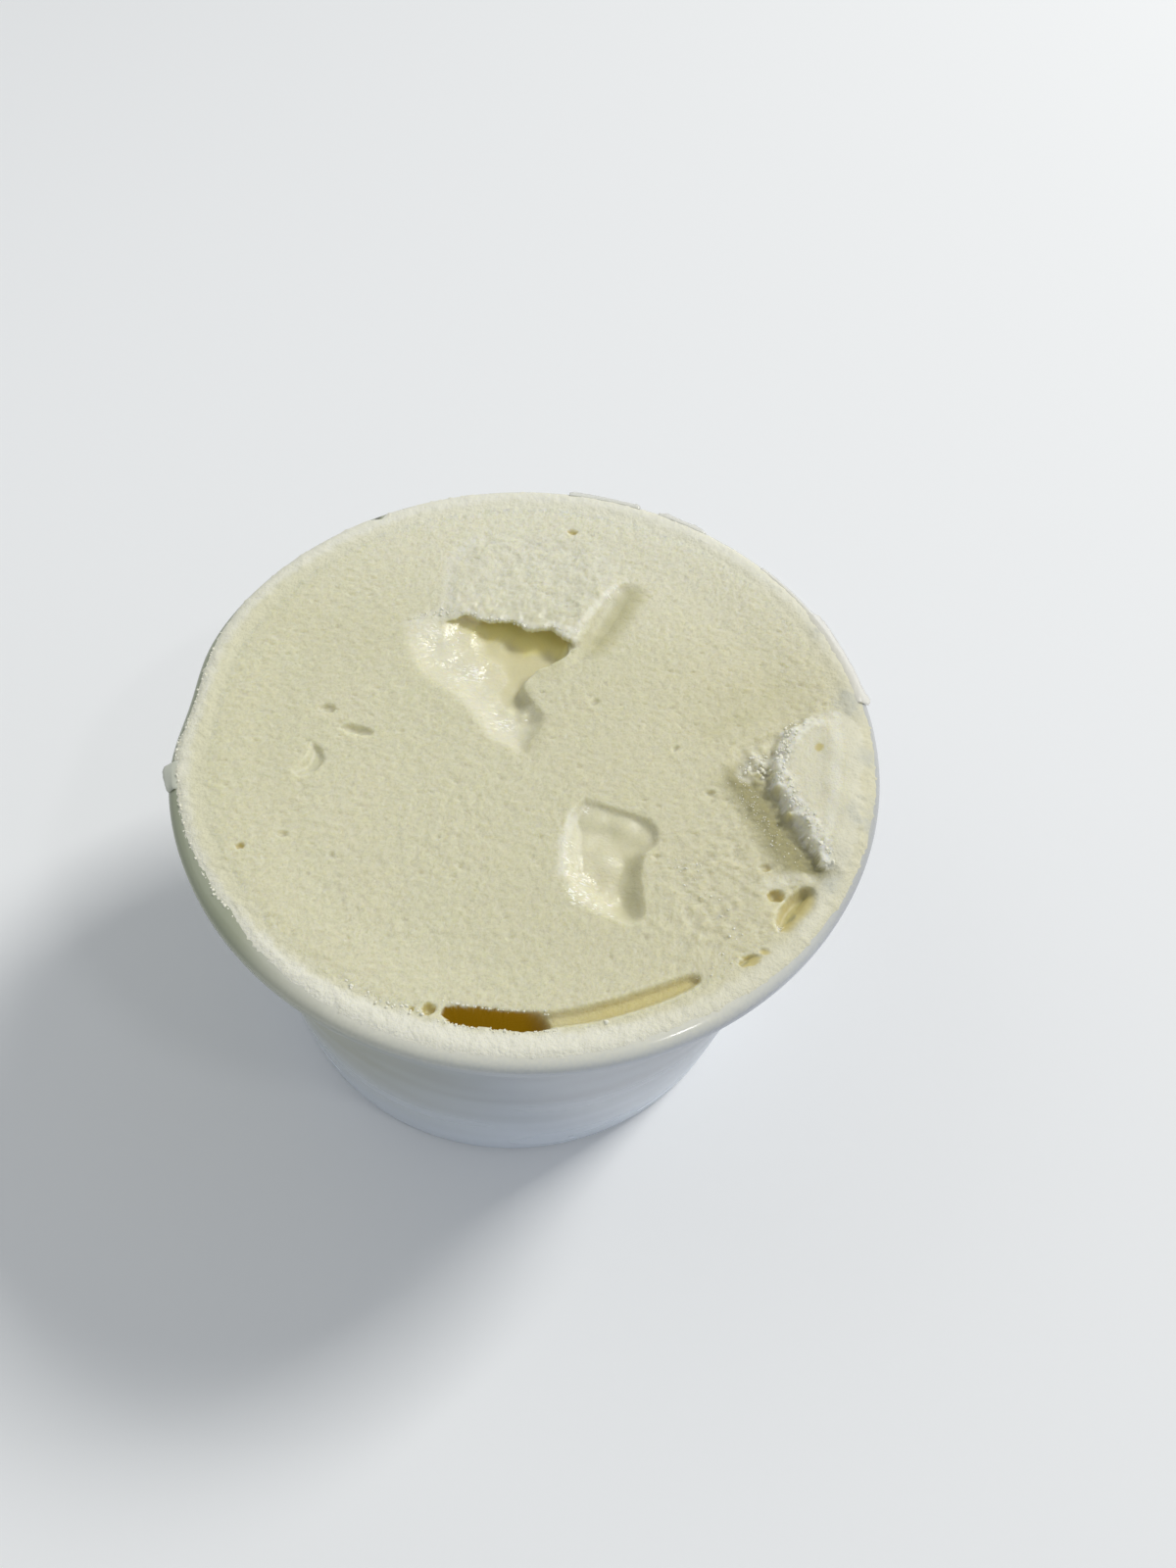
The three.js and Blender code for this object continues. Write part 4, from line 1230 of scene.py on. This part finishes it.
def frozen_skin(x, y, edge):
    """Points of the skin in mm and its painted masks, for places on the plan."""
    radius, azimuth = np.hypot(x, y), np.arctan2(y, x)
    crumbly = patched(x, y, CRUMBLY_PLACES) * (0.7 + 0.3 * lumps(x, y, 3, 5))
    level, flap = levelled_top(x, y, crumbly)
    level, glazed, rippled, shaded_holes = hollowed(level, x, y)
    level, mound, cliff = torn(level, x, y)
    level, slide, scoop, broad, face, shade = scooped(level, x, y)
    level = rimed(level, x, y, edge)
    level, new_radius, soaked, trough = slotted(level, x, y)
    scale = new_radius / np.maximum(radius, 1e-6)
    points = np.column_stack([x * scale, (y + slide) * scale, FILL_LEVEL + level])

    past_start = (radius - from_table(azimuth, 2)) / 1.1
    on_rim = from_table(azimuth, 3) * eased(past_start + 0.3 * lumps(x, y, 0.7, 44))
    dry = [on_rim, MOUND_WHITE * mound, cliff, FLAP_WHITE * flap, FACE_WHITE * face * flap]
    white = np.maximum.reduce([*dry, banded(x, y, FROST_AND_LIGHT_LINES)])
    white = white * (1 - trough) * (1 - scoop * (shade > 0))
    tan_shade = TAN_SHADE_STRENGTH * patched(x, y, TAN_SHADE_PLACES) * (0.7 + 0.5 * lumps(x, y, 1.5, 45))
    icy = patched(x, y, ICY_PLACES) * (0.6 + 0.7 * grit(x, y, 1.2, 46))
    masks = {
        "melt": np.clip(np.maximum.reduce([scoop, glazed, 0.6 * patched(x, y, GLAZED_PLACES)]), 0, 1),
        # Painted shade that deepens with depth.
        "hollow": np.clip((-level - HOLLOW_SHADE_DEPTHS[0]) / HOLLOW_SHADE_DEPTHS[1], 0, 1) * (1 - cliff),
        # Frost, and painted light and highlights from some of the lines.
        "frost": np.clip(white, 0, 1),
        # Painted tan shade.
        "tan_shade": np.clip(np.maximum(tan_shade, banded(x, y, TAN_SHADE_LINES)), 0, 1) * (1 - mound) * (1 - white),
        # Painted shade where hollows are darkest.
        "dark": banded(x, y, DARK_SHADE_LINES) * (1 - white),
        "icy": np.clip(icy + 0.18 * flap, 0, 1),
        # Olive-tan of the shallow trough, and painted shade in the long hole and the air holes near the
        # wall.
        "trough": np.maximum(trough * np.interp(x, *TROUGH_PALENESS), shaded_holes),
        # Painted shade and glow of the deep slot.
        "deep": soaked,
        "shade": shade,
        # Ripples on broad slopes, which are also painted lighter.
        "rippled": np.maximum(rippled, broad),
        "glinting": patched(x, y, GLINT_PLACES),
    }
    return points, masks


# %% [markdown]
# ### The grid
#
# A square grid is drawn onto the disc, so its cells stay nearly square and equal from the middle to
# the rim, which rings and spokes can't do. The closing part goes down inside the tub: the grid's
# outer loop is repeated at a few radii and levels, and the last loop is fanned to the middle.

# %% Gelato mesh
GRID_HALF = 180
PLAN_RADIUS = 37.0
RIM_BAND = 0.88  # beyond this share of the radius the grid bends to the frost's edge
RIM_FROST_FROM = 34.15  # outside this radius the frost is opaque, and has its own material
HIDDEN_GAP = 0.04  # between the gelato's hidden side and the tub
HIDDEN_RIM_RADII = (RIM_CREST, 34.7, 34.3)
HIDDEN_LEVELS = (46.6, 44, 38, 30, 20, 10, FLOOR_LEVEL + FLOOR_FILLET)


def disc_grid(half):
    """x and y of a square grid drawn onto the unit disc, and its faces."""
    steps = np.linspace(-1, 1, 2 * half + 1)
    a, b = (side.ravel() for side in np.meshgrid(steps, steps))
    wide = np.abs(a) >= np.abs(b)
    long_side, short_side = np.where(wide, a, b), np.where(wide, b, a)
    turn = math.pi / 4 * short_side / np.where(long_side == 0, 1, long_side)
    angle = np.where(wide, turn, math.pi / 2 - turn)
    row = 2 * half + 1
    corner = (np.arange(2 * half)[:, None] * row + np.arange(2 * half)).ravel()
    faces = np.column_stack([corner, corner + 1, corner + row + 1, corner + row])
    return long_side * np.cos(angle), long_side * np.sin(angle), faces


def outer_loop(half):
    """Indices of the grid's outermost points, counter-clockwise."""
    row = 2 * half + 1
    side = np.arange(2 * half)
    last = row * row - 1
    return np.concatenate([side, side * row + 2 * half, last - side, last - 2 * half - side * row])


print("grid:", len(outer_loop(GRID_HALF)), "points round, from", (2 * GRID_HALF + 1) ** 2)


# %% Closing the gelato below
def inside_profile():
    """Radii and levels of the gelato's hidden side, from under the frost down to its underside."""
    on_rim = [(radius, rim_top(radius) - HIDDEN_GAP) for radius in HIDDEN_RIM_RADII]
    wall = [(inner_wall(z) - HIDDEN_GAP, z) for z in HIDDEN_LEVELS]
    centre = (inner_wall(FLOOR_LEVEL) - FLOOR_FILLET, FLOOR_LEVEL + FLOOR_FILLET + HIDDEN_GAP)
    return on_rim + wall + arc(centre, (FLOOR_FILLET - HIDDEN_GAP, FLOOR_FILLET), -20, -90, 4)


def closing_part(loop, azimuth, first):
    """Points and faces that close the skin below, from its outer loop to the middle."""
    count = len(loop)
    rings = [np.column_stack([*polar(r, azimuth), np.full(count, z)]) for r, z in inside_profile()]
    loops = [loop] + [first + k * count + np.arange(count) for k in range(len(rings))]
    faces = []
    for upper, lower in zip(loops, loops[1:]):
        faces += np.column_stack([upper, lower, np.roll(lower, -1), np.roll(upper, -1)]).tolist()
    middle = np.full(count, first + len(rings) * count)
    faces += np.column_stack([loops[-1], middle, np.roll(loops[-1], -1)]).tolist()
    return np.vstack([*rings, [[0, 0, FLOOR_LEVEL + HIDDEN_GAP]]]), faces


print("hidden side:", len(inside_profile()), "rings")


# %% Masks and edges on the mesh
def finish_mesh(mesh, masks, on_rim, loop):
    """Stores the masks on the skin's points, picks the rim's material and keeps the edge sharp."""
    kinds = np.zeros(len(mesh.polygons), int)
    kinds[: len(on_rim)] = on_rim
    mesh.polygons.foreach_set("material_index", kinds)
    for name, values in masks.items():
        whole = np.zeros(len(mesh.vertices))
        whole[: len(values)] = values
        mesh.attributes.new(name, "FLOAT", "POINT").data.foreach_set("value", whole)
    # With a soft edge the shading would turn dark where the skin folds under.
    on_edge = np.zeros(len(mesh.vertices), bool)
    on_edge[loop] = True
    ends = np.zeros(2 * len(mesh.edges), int)
    mesh.edges.foreach_get("vertices", ends)
    sharp = on_edge[ends.reshape(-1, 2)].all(axis=1)
    mesh.attributes.new("sharp_edge", "BOOLEAN", "EDGE").data.foreach_set("value", sharp)


# %% Making the gelato
def make_gelato(cream, frost):
    """The gelato with its masks, and the points of its skin."""
    a, b, faces = disc_grid(GRID_HALF)
    share, azimuth = np.hypot(a, b), np.arctan2(b, a)
    edge = frost_edge(azimuth)
    band = eased((share - RIM_BAND) / (1 - RIM_BAND))
    x, y = polar(share * (PLAN_RADIUS + (edge - PLAN_RADIUS) * band), azimuth)
    top, masks = frozen_skin(x, y, edge)
    loop = outer_loop(GRID_HALF)
    below, more_faces = closing_part(loop, azimuth[loop], len(top))
    piece = add_piece("gelato_fill", np.vstack([top, below]), faces.tolist() + more_faces, "gelato", cream)
    piece.data.materials.append(frost)
    wander = 0.3 * lumps(x, y, 0.8, 47)
    on_rim = (np.hypot(x, y) + wander)[faces].mean(axis=1) > RIM_FROST_FROM
    finish_mesh(piece.data, masks, on_rim, loop)
    return piece, top


# %% [markdown]
# ### Gelato material
#
# Frozen cream is matt and slightly see-through. Light that goes in comes out warmer, so hollows are
# painted yellower and darker than the dry top, as their shade, and frost, which is loose ice, is
# whiter. The masks painted on the mesh choose between those colours. Broad slopes are painted
# lighter, and walls that face away from the lamp are painted in tan or dark shade. The slopes of
# melted hollows have frozen again as a pale glaze: there the roughness falls, fine ripples catch the
# lamp, and white flecks are painted on as glints. Where the trench is deepest little light gets out
# again, so it is painted darker. In the deep slot the light arrives from inside the cream. A faint
# glow of that colour stands for it. Frost on the rim has the same colours, but it is too thin to let
# light travel in it, so it is a second material that is nearly opaque.

# %% Gelato colours
CREAM_LIGHT = (0.73, 0.70, 0.505, 1)
CREAM_DARK = (0.68, 0.655, 0.46, 1)
# Painted shade: the cream is darker and yellower towards the right.
CREAM_RIGHT_SHADE = (0.665, 0.625, 0.43, 1)
CREAM_BACK = (0.82, 0.805, 0.665, 1)
CREAM_GREEN = (0.69, 0.69, 0.49, 1)
# Painted shade of hollows.
HOLLOW_SHADE_COLOUR = (0.66, 0.60, 0.33, 1)
# Painted light on the broad, rippled slopes of the hollows.
SLOPE_LIGHT_COLOUR = (0.85, 0.815, 0.63, 1)
SHADE_COLOUR = (0.85, 0.77, 0.33, 1)
# Painted tan shade.
TAN_SHADE_COLOUR = (0.575, 0.545, 0.335, 1)
# Painted shade, the darkest.
DARK_SHADE_COLOUR = (0.28, 0.255, 0.11, 1)
# Olive-tan of the trough, also painted as shade in holes.
TROUGH_COLOUR = (0.635, 0.555, 0.255, 1)
# White of frost, also used for painted light.
FROST_AND_LIGHT_COLOUR = (0.80, 0.785, 0.66, 1)
ICE_COLOUR = (0.56, 0.56, 0.47, 1)
# Painted shade in pinholes.
PORE_SHADE_COLOUR = (0.5, 0.47, 0.3, 1)
# Painted shade of the deep slot, and the glow that stands for light soaked through the cream.
DEEP_COLOUR = (0.14, 0.08, 0.01, 1)
SOAKED_LIGHT = (0.138, 0.078, 0.002, 1)
NO_LIGHT = (0, 0, 0, 1)
GRAIN_COLOUR = (0.52, 0.50, 0.335, 1)
# Painted glints.
GLINT_COLOUR = (1.0, 0.98, 0.86, 1)


# %% Tints by place and by mask
# Painted mask, strength and colour, in the order that they are laid over each other.
MASK_TINTS = (
    # Painted shade in hollows.
    ("hollow", 1.0, HOLLOW_SHADE_COLOUR),
    # Painted light on the broad slopes.
    ("rippled", 0.5, SLOPE_LIGHT_COLOUR),
    # Painted tan shade.
    ("tan_shade", 0.9, TAN_SHADE_COLOUR),
    # Painted shade, the darkest.
    ("dark", 1.0, DARK_SHADE_COLOUR),
    ("shade", 1.0, SHADE_COLOUR),
    # Frost and painted light.
    ("frost", 1.0, FROST_AND_LIGHT_COLOUR),
    ("icy", 0.8, ICE_COLOUR),
    # Olive-tan trough, and painted shade in holes.
    ("trough", 1.0, TROUGH_COLOUR),
    # Painted shade in the deep slot.
    ("deep", 1.0, DEEP_COLOUR),
)


def cream_colour(tree, place, fine, broad):
    """The socket of the colour, from place, grain and the masks that are painted on the mesh."""
    across, back, _ = add_node(tree, "SeparateXYZ", {"Vector": place}).outputs
    colour = tinted(tree, mixed(tree, broad["Mottle"], CREAM_DARK, CREAM_LIGHT), (
        (fine["Mottle"], (0, 1), 0.3, CREAM_GREEN),
        # Painted shade towards the right.
        (across, (-5, 34), 0.75, CREAM_RIGHT_SHADE),
        (back, (12, 36), 0.8, CREAM_BACK),
        (fine["Height"], (0.45, 0.75), 0.45, GRAIN_COLOUR),
        # Dark specks of painted shade, as in pinholes.
        (fine["Specks"], (0, 1), 0.2, PORE_SHADE_COLOUR),
    ))
    masks = [(painted(tree, name), (0, 1), strength, tint) for name, strength, tint in MASK_TINTS]
    return tinted(tree, colour, masks)


print(len(MASK_TINTS), "painted masks tint the cream")

# %% Gelato materials
FINE_GRAIN = 0.32
BROAD_GRAIN = 1.1
GLINT_CELLS = (1.9, 4.2, 2.0)  # per mm, so that a painted glint is long nearly along X
GLINT_TURN = -0.35
GLINT_EDGE = (0.54, 0.60)
RIPPLE_CELLS = (1.3, 2.2, 2.2)
RIPPLE_CELL_TURN = -0.4
RIPPLE_DEPTH = 0.14
GRAIN_DEPTH = 0.12
# Each from dry to melted.
GRAIN_STRENGTH = (1.0, 0.12)
CREAM_ROUGHNESS = (0.62, 0.44)
GLAZE_GLOSS = 0.2  # taken off the roughness on glazed slopes and painted glints
LIGHT_REACH_BY_COLOUR = (1.0, 0.9, 0.5)  # red, green and blue


def make_frozen(name, see_through, light_reach):
    """Frozen cream or frost: how see-through it is, and how far light travels in it in mm."""
    material, tree, shader = new_material(name)
    place = in_millimetres(tree)
    fine = grain(tree, place, FINE_GRAIN)
    broad = grain(tree, place, BROAD_GRAIN)
    # Painted glints: white flecks in the glinting places, which are also glossier.
    glint_flecks = ranged(tree, stretched_noise(tree, place, GLINT_CELLS, GLINT_TURN), *GLINT_EDGE)
    glint_flecks = within(tree, glint_flecks, painted(tree, "glinting"))
    colour = mixed(tree, glint_flecks, cream_colour(tree, place, fine, broad), GLINT_COLOUR)
    melt, rippled = painted(tree, "melt"), painted(tree, "rippled")
    glossy = maths(tree, "MAXIMUM", ranged(tree, rippled, 0.5, 1), glint_flecks)
    glaze = maths(tree, "MULTIPLY", glossy, GLAZE_GLOSS)
    gritty = ranged(tree, melt, 0, 1, *GRAIN_STRENGTH)
    uneven = add_bump(tree, fine["Height"], gritty, GRAIN_DEPTH)
    ripple = stretched_noise(tree, place, RIPPLE_CELLS, RIPPLE_CELL_TURN, detail=2.0)
    set_inputs(tree, shader, {
        "Base Color": colour,
        "Roughness": maths(tree, "SUBTRACT", ranged(tree, melt, 0, 1, *CREAM_ROUGHNESS), glaze),
        "Normal": add_bump(tree, ripple, rippled, RIPPLE_DEPTH, uneven),
        "Emission Color": mixed(tree, painted(tree, "deep"), NO_LIGHT, SOAKED_LIGHT),
        "Emission Strength": 1.0,
        "Subsurface Weight": see_through,
        "Subsurface Radius": LIGHT_REACH_BY_COLOUR,
        "Subsurface Scale": light_reach * MM,
    })
    return material


# %% The finished gelato
frozen_cream = make_frozen("frozen_cream", 0.85, 1.6)
rim_frost = make_frozen("rim_frost", 0.1, 0.3)
gelato_fill, skin_points = make_gelato(frozen_cream, rim_frost)
print("skin from", skin_points.min(axis=0).round(2), "to", skin_points.max(axis=0).round(2), "mm")
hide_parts("gelato")

# %% [markdown]
# ## Crumbs
#
# Where the cream broke, loose crumbs of it have frozen on again, and frost has grown beads at the
# left edge of the rim. Each crumb is a small dented ball. They are scattered along a few lines with
# a seeded draw, set a little into the skin, and joined into one mesh.

# %% Crumb lines
# How many, smallest and largest size, width of the band, and the line that they lie along.
CRUMB_LINES = [
    (35, 0.14, 0.28, 0.10, [(-3.4, -32.2), (0, -32.3), (4, -32.2), (6.6, -31.8)]),
    (35, 0.14, 0.30, 0.12, [(-3.4, -34.1), (0, -34.35), (4, -34.2), (8.0, -33.4)]),
    (20, 0.20, 0.40, 0.30, [(-14, -31.4), (-9, -33.0), (-4.2, -33.6)]),
    (
        90, 0.14, 0.34, 0.22,
        [(-36.6, 8.0), (-37.3, 0), (-36.6, -8), (-33.6, -15.4), (-29.8, -21.6), (-25, -27)],
    ),
    (50, 0.14, 0.30, 0.70, [(23.2, -1.5), (23.4, 0.6), (25.0, 1.2), (25.6, -0.4), (26.0, -2.0)]),
    (110, 0.09, 0.19, 1.20, [(22.8, -2.6), (24.0, -5.4), (26.2, -8.8), (28.4, -11.6)]),
    (14, 0.30, 0.55, 0.60, [(23.2, -1.5), (23.6, 0.5), (24.8, 0.8), (25.6, -1.2)]),
    (60, 0.18, 0.50, 0.55, [(28.5, 6.1), (27.2, 3.8), (26.8, 1.6), (26.8, -0.6)]),
    (
        60, 0.18, 0.50, 0.55,
        [(26.8, -0.8), (27.5, -2.8), (28.8, -4.9), (30.5, -7.2), (31.6, -9.6), (32.6, -11.3)],
    ),
    (50, 0.14, 0.34, 0.25, [(-13.6, 15.9), (-11, 15.6), (-8, 15.0), (-4, 14.8), (0, 15.0), (1.8, 13.9)]),
    (25, 0.16, 0.36, 0.40, [(-16.4, 13.8), (-14.4, 14.6), (-12.4, 15.4)]),
    (40, 0.14, 0.30, 1.20, [(16, -12), (20, -16), (24, -20), (21, -26)]),
    (1, 0.50, 0.50, 0.05, [(11.8, -31.9), (12, -31.9)]),
]
CRUMB_SINK = 0.55  # share of its size that a crumb is set into the skin
CRUMB_DENTS = 0.3
CRUMB_SCATTER = 0.7  # spread of the places as a share of the band's width
print(sum(line[0] for line in CRUMB_LINES), "crumbs")


# %% Crumb shape and places
def crumb_ball():
    """Points and faces of a small ball, to be dented."""
    shape = bmesh.new()
    bmesh.ops.create_icosphere(shape, subdivisions=2, radius=1)
    points = np.array([list(vert.co) for vert in shape.verts])
    faces = np.array([[vert.index for vert in face.verts] for face in shape.faces])
    shape.free()
    return points, faces


print("one crumb:", len(crumb_ball()[0]), "points")


def crumb_places(draw):
    """Place and size of each crumb, on the skin."""
    places = []
    for count, small, large, spread, line in CRUMB_LINES:
        line = np.array(line, float)
        lengths = np.concatenate([[0], np.cumsum(np.hypot(*np.diff(line, axis=0).T))])
        for _ in range(count):
            along = draw.random() * lengths[-1]
            x = np.interp(along, lengths, line[:, 0]) + spread * draw.normal() * CRUMB_SCATTER
            y = np.interp(along, lengths, line[:, 1]) + spread * draw.normal() * CRUMB_SCATTER
            size = small + (large - small) * draw.random() ** 2
            apart = (skin_points - [x, y, CUP_HEIGHT]) * [1, 1, 0.3]  # the upper of two skins wins
            near = np.argmin((apart**2).sum(axis=1))
            places.append((*skin_points[near], size))
    return places


# %% Making the crumbs
CRUMB_WARM = (0.83, 0.815, 0.67, 1)
CRUMB_WHITE = (0.93, 0.915, 0.80, 1)


def make_crumbs(material):
    """All crumbs as one mesh."""
    draw = np.random.default_rng(61)
    ball, ball_faces = crumb_ball()
    points, faces = [], []
    for x, y, z, size in crumb_places(draw):
        stretch = draw.uniform(0.7, 1.2, 3) * size / 2
        dents = 1 + CRUMB_DENTS * draw.uniform(-1, 1, (len(ball), 1))
        turn = np.array(Euler(draw.uniform(0, 2 * math.pi, 3)).to_matrix())
        faces.append(ball_faces + len(ball) * len(points))
        points.append(ball * dents * stretch @ turn.T + [x, y, z + size * (0.5 - CRUMB_SINK)])
    return add_piece("gelato_crumbs", np.vstack(points), np.vstack(faces).tolist(), "gelato", material)


def make_crumb_material():
    """Matt and whiter than the cream. A crumb is too small for light to travel in it."""
    material, tree, shader = new_material("frozen_crumb")
    fine = grain(tree, in_millimetres(tree), 0.3)
    set_inputs(tree, shader, {
        "Base Color": mixed(tree, fine["Mottle"], CRUMB_WARM, CRUMB_WHITE),
        "Roughness": 0.85,
        "Specular IOR Level": 0.15,
        "Normal": add_bump(tree, fine["Height"], strength=0.8, depth=0.05),
    })
    return material


make_crumbs(make_crumb_material())

# %% [markdown]
# ## Torn film
#
# A clear film was once sealed over the tub. Where it was torn off, narrow strips are still welded to
# the rim and stand out a little past it. Each is a thin bent sheet: a grid from the weld to the torn
# edge, given a second side so that it is closed. Creases catch the light and make clear film visible.

# %% Film strips
FILM_THICKNESS = 0.07
FILM_LIFT = ((0, 0.3), (0.03, 0.2))  # above the plastic, so that it comes out of the frost
FILM_ACROSS = 7  # points from the weld to the torn edge
FILM_STEP = 0.5  # degrees between points along the strip
FILM_FOLLOWS = 0.15  # up to this far from the rim's outside it lies on the rim
FILM_STANDS = 0.2  # a strip that ends nearer than this to the outside lies down
FILM_DROOP = 0.1  # per mm beyond the rim
CREASE_WIDTH = 0.35  # in degrees
CREASE_HEIGHT = 0.15
# One long fold: height, and its place and width as shares of the way across.
FOLD_HEIGHT = 0.14
FOLD_PLACE = 0.4
FOLD_WIDTH = 0.16

# Name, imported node, weld and torn edge as (azimuth, radius), and creases as azimuths.
FILM_STRIPS = [
    (
        "lid_film_right", "film_right", [(36, 36.3), (40, 36.9)],
        [
            (15.8, 38.05), (16.6, 38.45), (20, 38.1), (28, 38.15), (34, 38.3), (37, 38.3), (38.5, 37.6),
            (51.5, 37.5),
        ],
        (16.8, 17.6, 24, 33.5, 35.2, 36.6),
    ),
    (
        "lid_film_left", "film_left", [(196, 36.9)],
        [(195.6, 37.7), (196.1, 38.5), (197.2, 38.6), (199.0, 38.35), (200.8, 38.1), (201.6, 37.6)],
        (196.4, 197.4, 199.9),
    ),
    (
        "lid_film_back", "film_back", [(80, 37.0)],
        [(78.4, 37.7), (79, 38.25), (84, 38.2), (90, 38.35), (92.3, 38.2), (92.8, 37.7)],
        (79.4, 91.6),
    ),
    (
        "lid_film_scrap", "film_back_scrap", [(70, 37.0)],
        [(64.6, 37.7), (66, 38.2), (70, 38.2), (73.5, 38.35), (75, 37.8)],
        (67.5, 73.2),
    ),
]


print(len(FILM_STRIPS), "strips of film")


# %% One strip
def film_sheet(weld, torn_edge, creases):
    """Radius, azimuth and level of the upper side, in rows from the weld to the torn edge."""
    azimuths = np.arange(torn_edge[0][0], torn_edge[-1][0], FILM_STEP)
    reach = np.interp(azimuths, *zip(*torn_edge)) + 0.05 * lumps(azimuths * 2, azimuths * 0, 1, 51)
    share = np.linspace(0, 1, FILM_ACROSS)[:, None]
    inner = np.interp(azimuths, *zip(*weld))
    radius = inner + (reach - inner) * share
    ridge = sum(np.exp(-(((azimuths - crease) / CREASE_WIDTH) ** 2)) for crease in creases)
    on_rim = rim_top(np.minimum(radius, RIM_RADIUS - FILM_FOLLOWS)) + np.interp(share, *FILM_LIFT)
    stands_out = np.clip(reach - RIM_RADIUS + FILM_STANDS, 0, FILM_STANDS) / FILM_STANDS
    flat = np.maximum(on_rim, CUP_HEIGHT - 0.05 - 0.5 * share**2)
    fold = FOLD_HEIGHT * np.exp(-(((share - FOLD_PLACE) / FOLD_WIDTH) ** 2))
    raised = flat - on_rim + (fold + CREASE_HEIGHT * ridge * share)
    droop = FILM_DROOP * np.clip(radius - RIM_RADIUS + FILM_FOLLOWS, 0, 1)
    return radius, np.radians(azimuths) + 0 * radius, on_rim + raised * stands_out - droop


def film_strip(weld, torn_edge, creases):
    """Points and faces of one closed strip of film."""
    radius, angle, level = film_sheet(weld, torn_edge, creases)
    upper = np.column_stack([*(side.ravel() for side in polar(radius, angle)), level.ravel()])
    points = np.vstack([upper, upper - [0, 0, FILM_THICKNESS]])
    rows, columns = radius.shape
    count = len(upper)
    faces = []
    for i in range(rows - 1):
        for j in range(columns - 1):
            a = i * columns + j
            quad = (a, a + columns, a + columns + 1, a + 1)
            faces += [quad, tuple(count + k for k in reversed(quad))]
    border = list(range(columns)) + [i * columns + columns - 1 for i in range(1, rows)]
    border += [(rows - 1) * columns + j for j in range(columns - 2, -1, -1)]
    border += [i * columns for i in range(rows - 2, 0, -1)]
    for a, b in zip(border, border[1:] + border[:1]):
        faces.append((a, b, count + b, count + a))
    return points, faces


# %% Film material and strips
FILM_LEFT = (0.62, 0.64, 0.54, 1)
FILM_RIGHT = (0.89, 0.87, 0.79, 1)
FILM_OPACITY = (0.4, 0.75)


def make_film_material():
    """Glossy and half see-through, cloudier in patches and brighter towards the right."""
    material, tree, shader = new_material("clear_film")
    place = in_millimetres(tree)
    across = add_node(tree, "SeparateXYZ", {"Vector": place}).outputs["X"]
    wrinkle = grain(tree, place, 0.9)
    set_inputs(tree, shader, {
        "Base Color": mixed(tree, ranged(tree, across, -30, 25), FILM_LEFT, FILM_RIGHT),
        "Roughness": 0.18,
        "Normal": add_bump(tree, wrinkle["Height"], strength=0.6, depth=0.15),
        "Alpha": ranged(tree, wrinkle["Mottle"], 0, 1, *FILM_OPACITY),
    })
    return material


clear_film = make_film_material()
for name, node, weld, torn_edge, creases in FILM_STRIPS:
    strip = add_piece(name, *film_strip(weld, torn_edge, creases), "lid_film", clear_film)
    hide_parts(node)
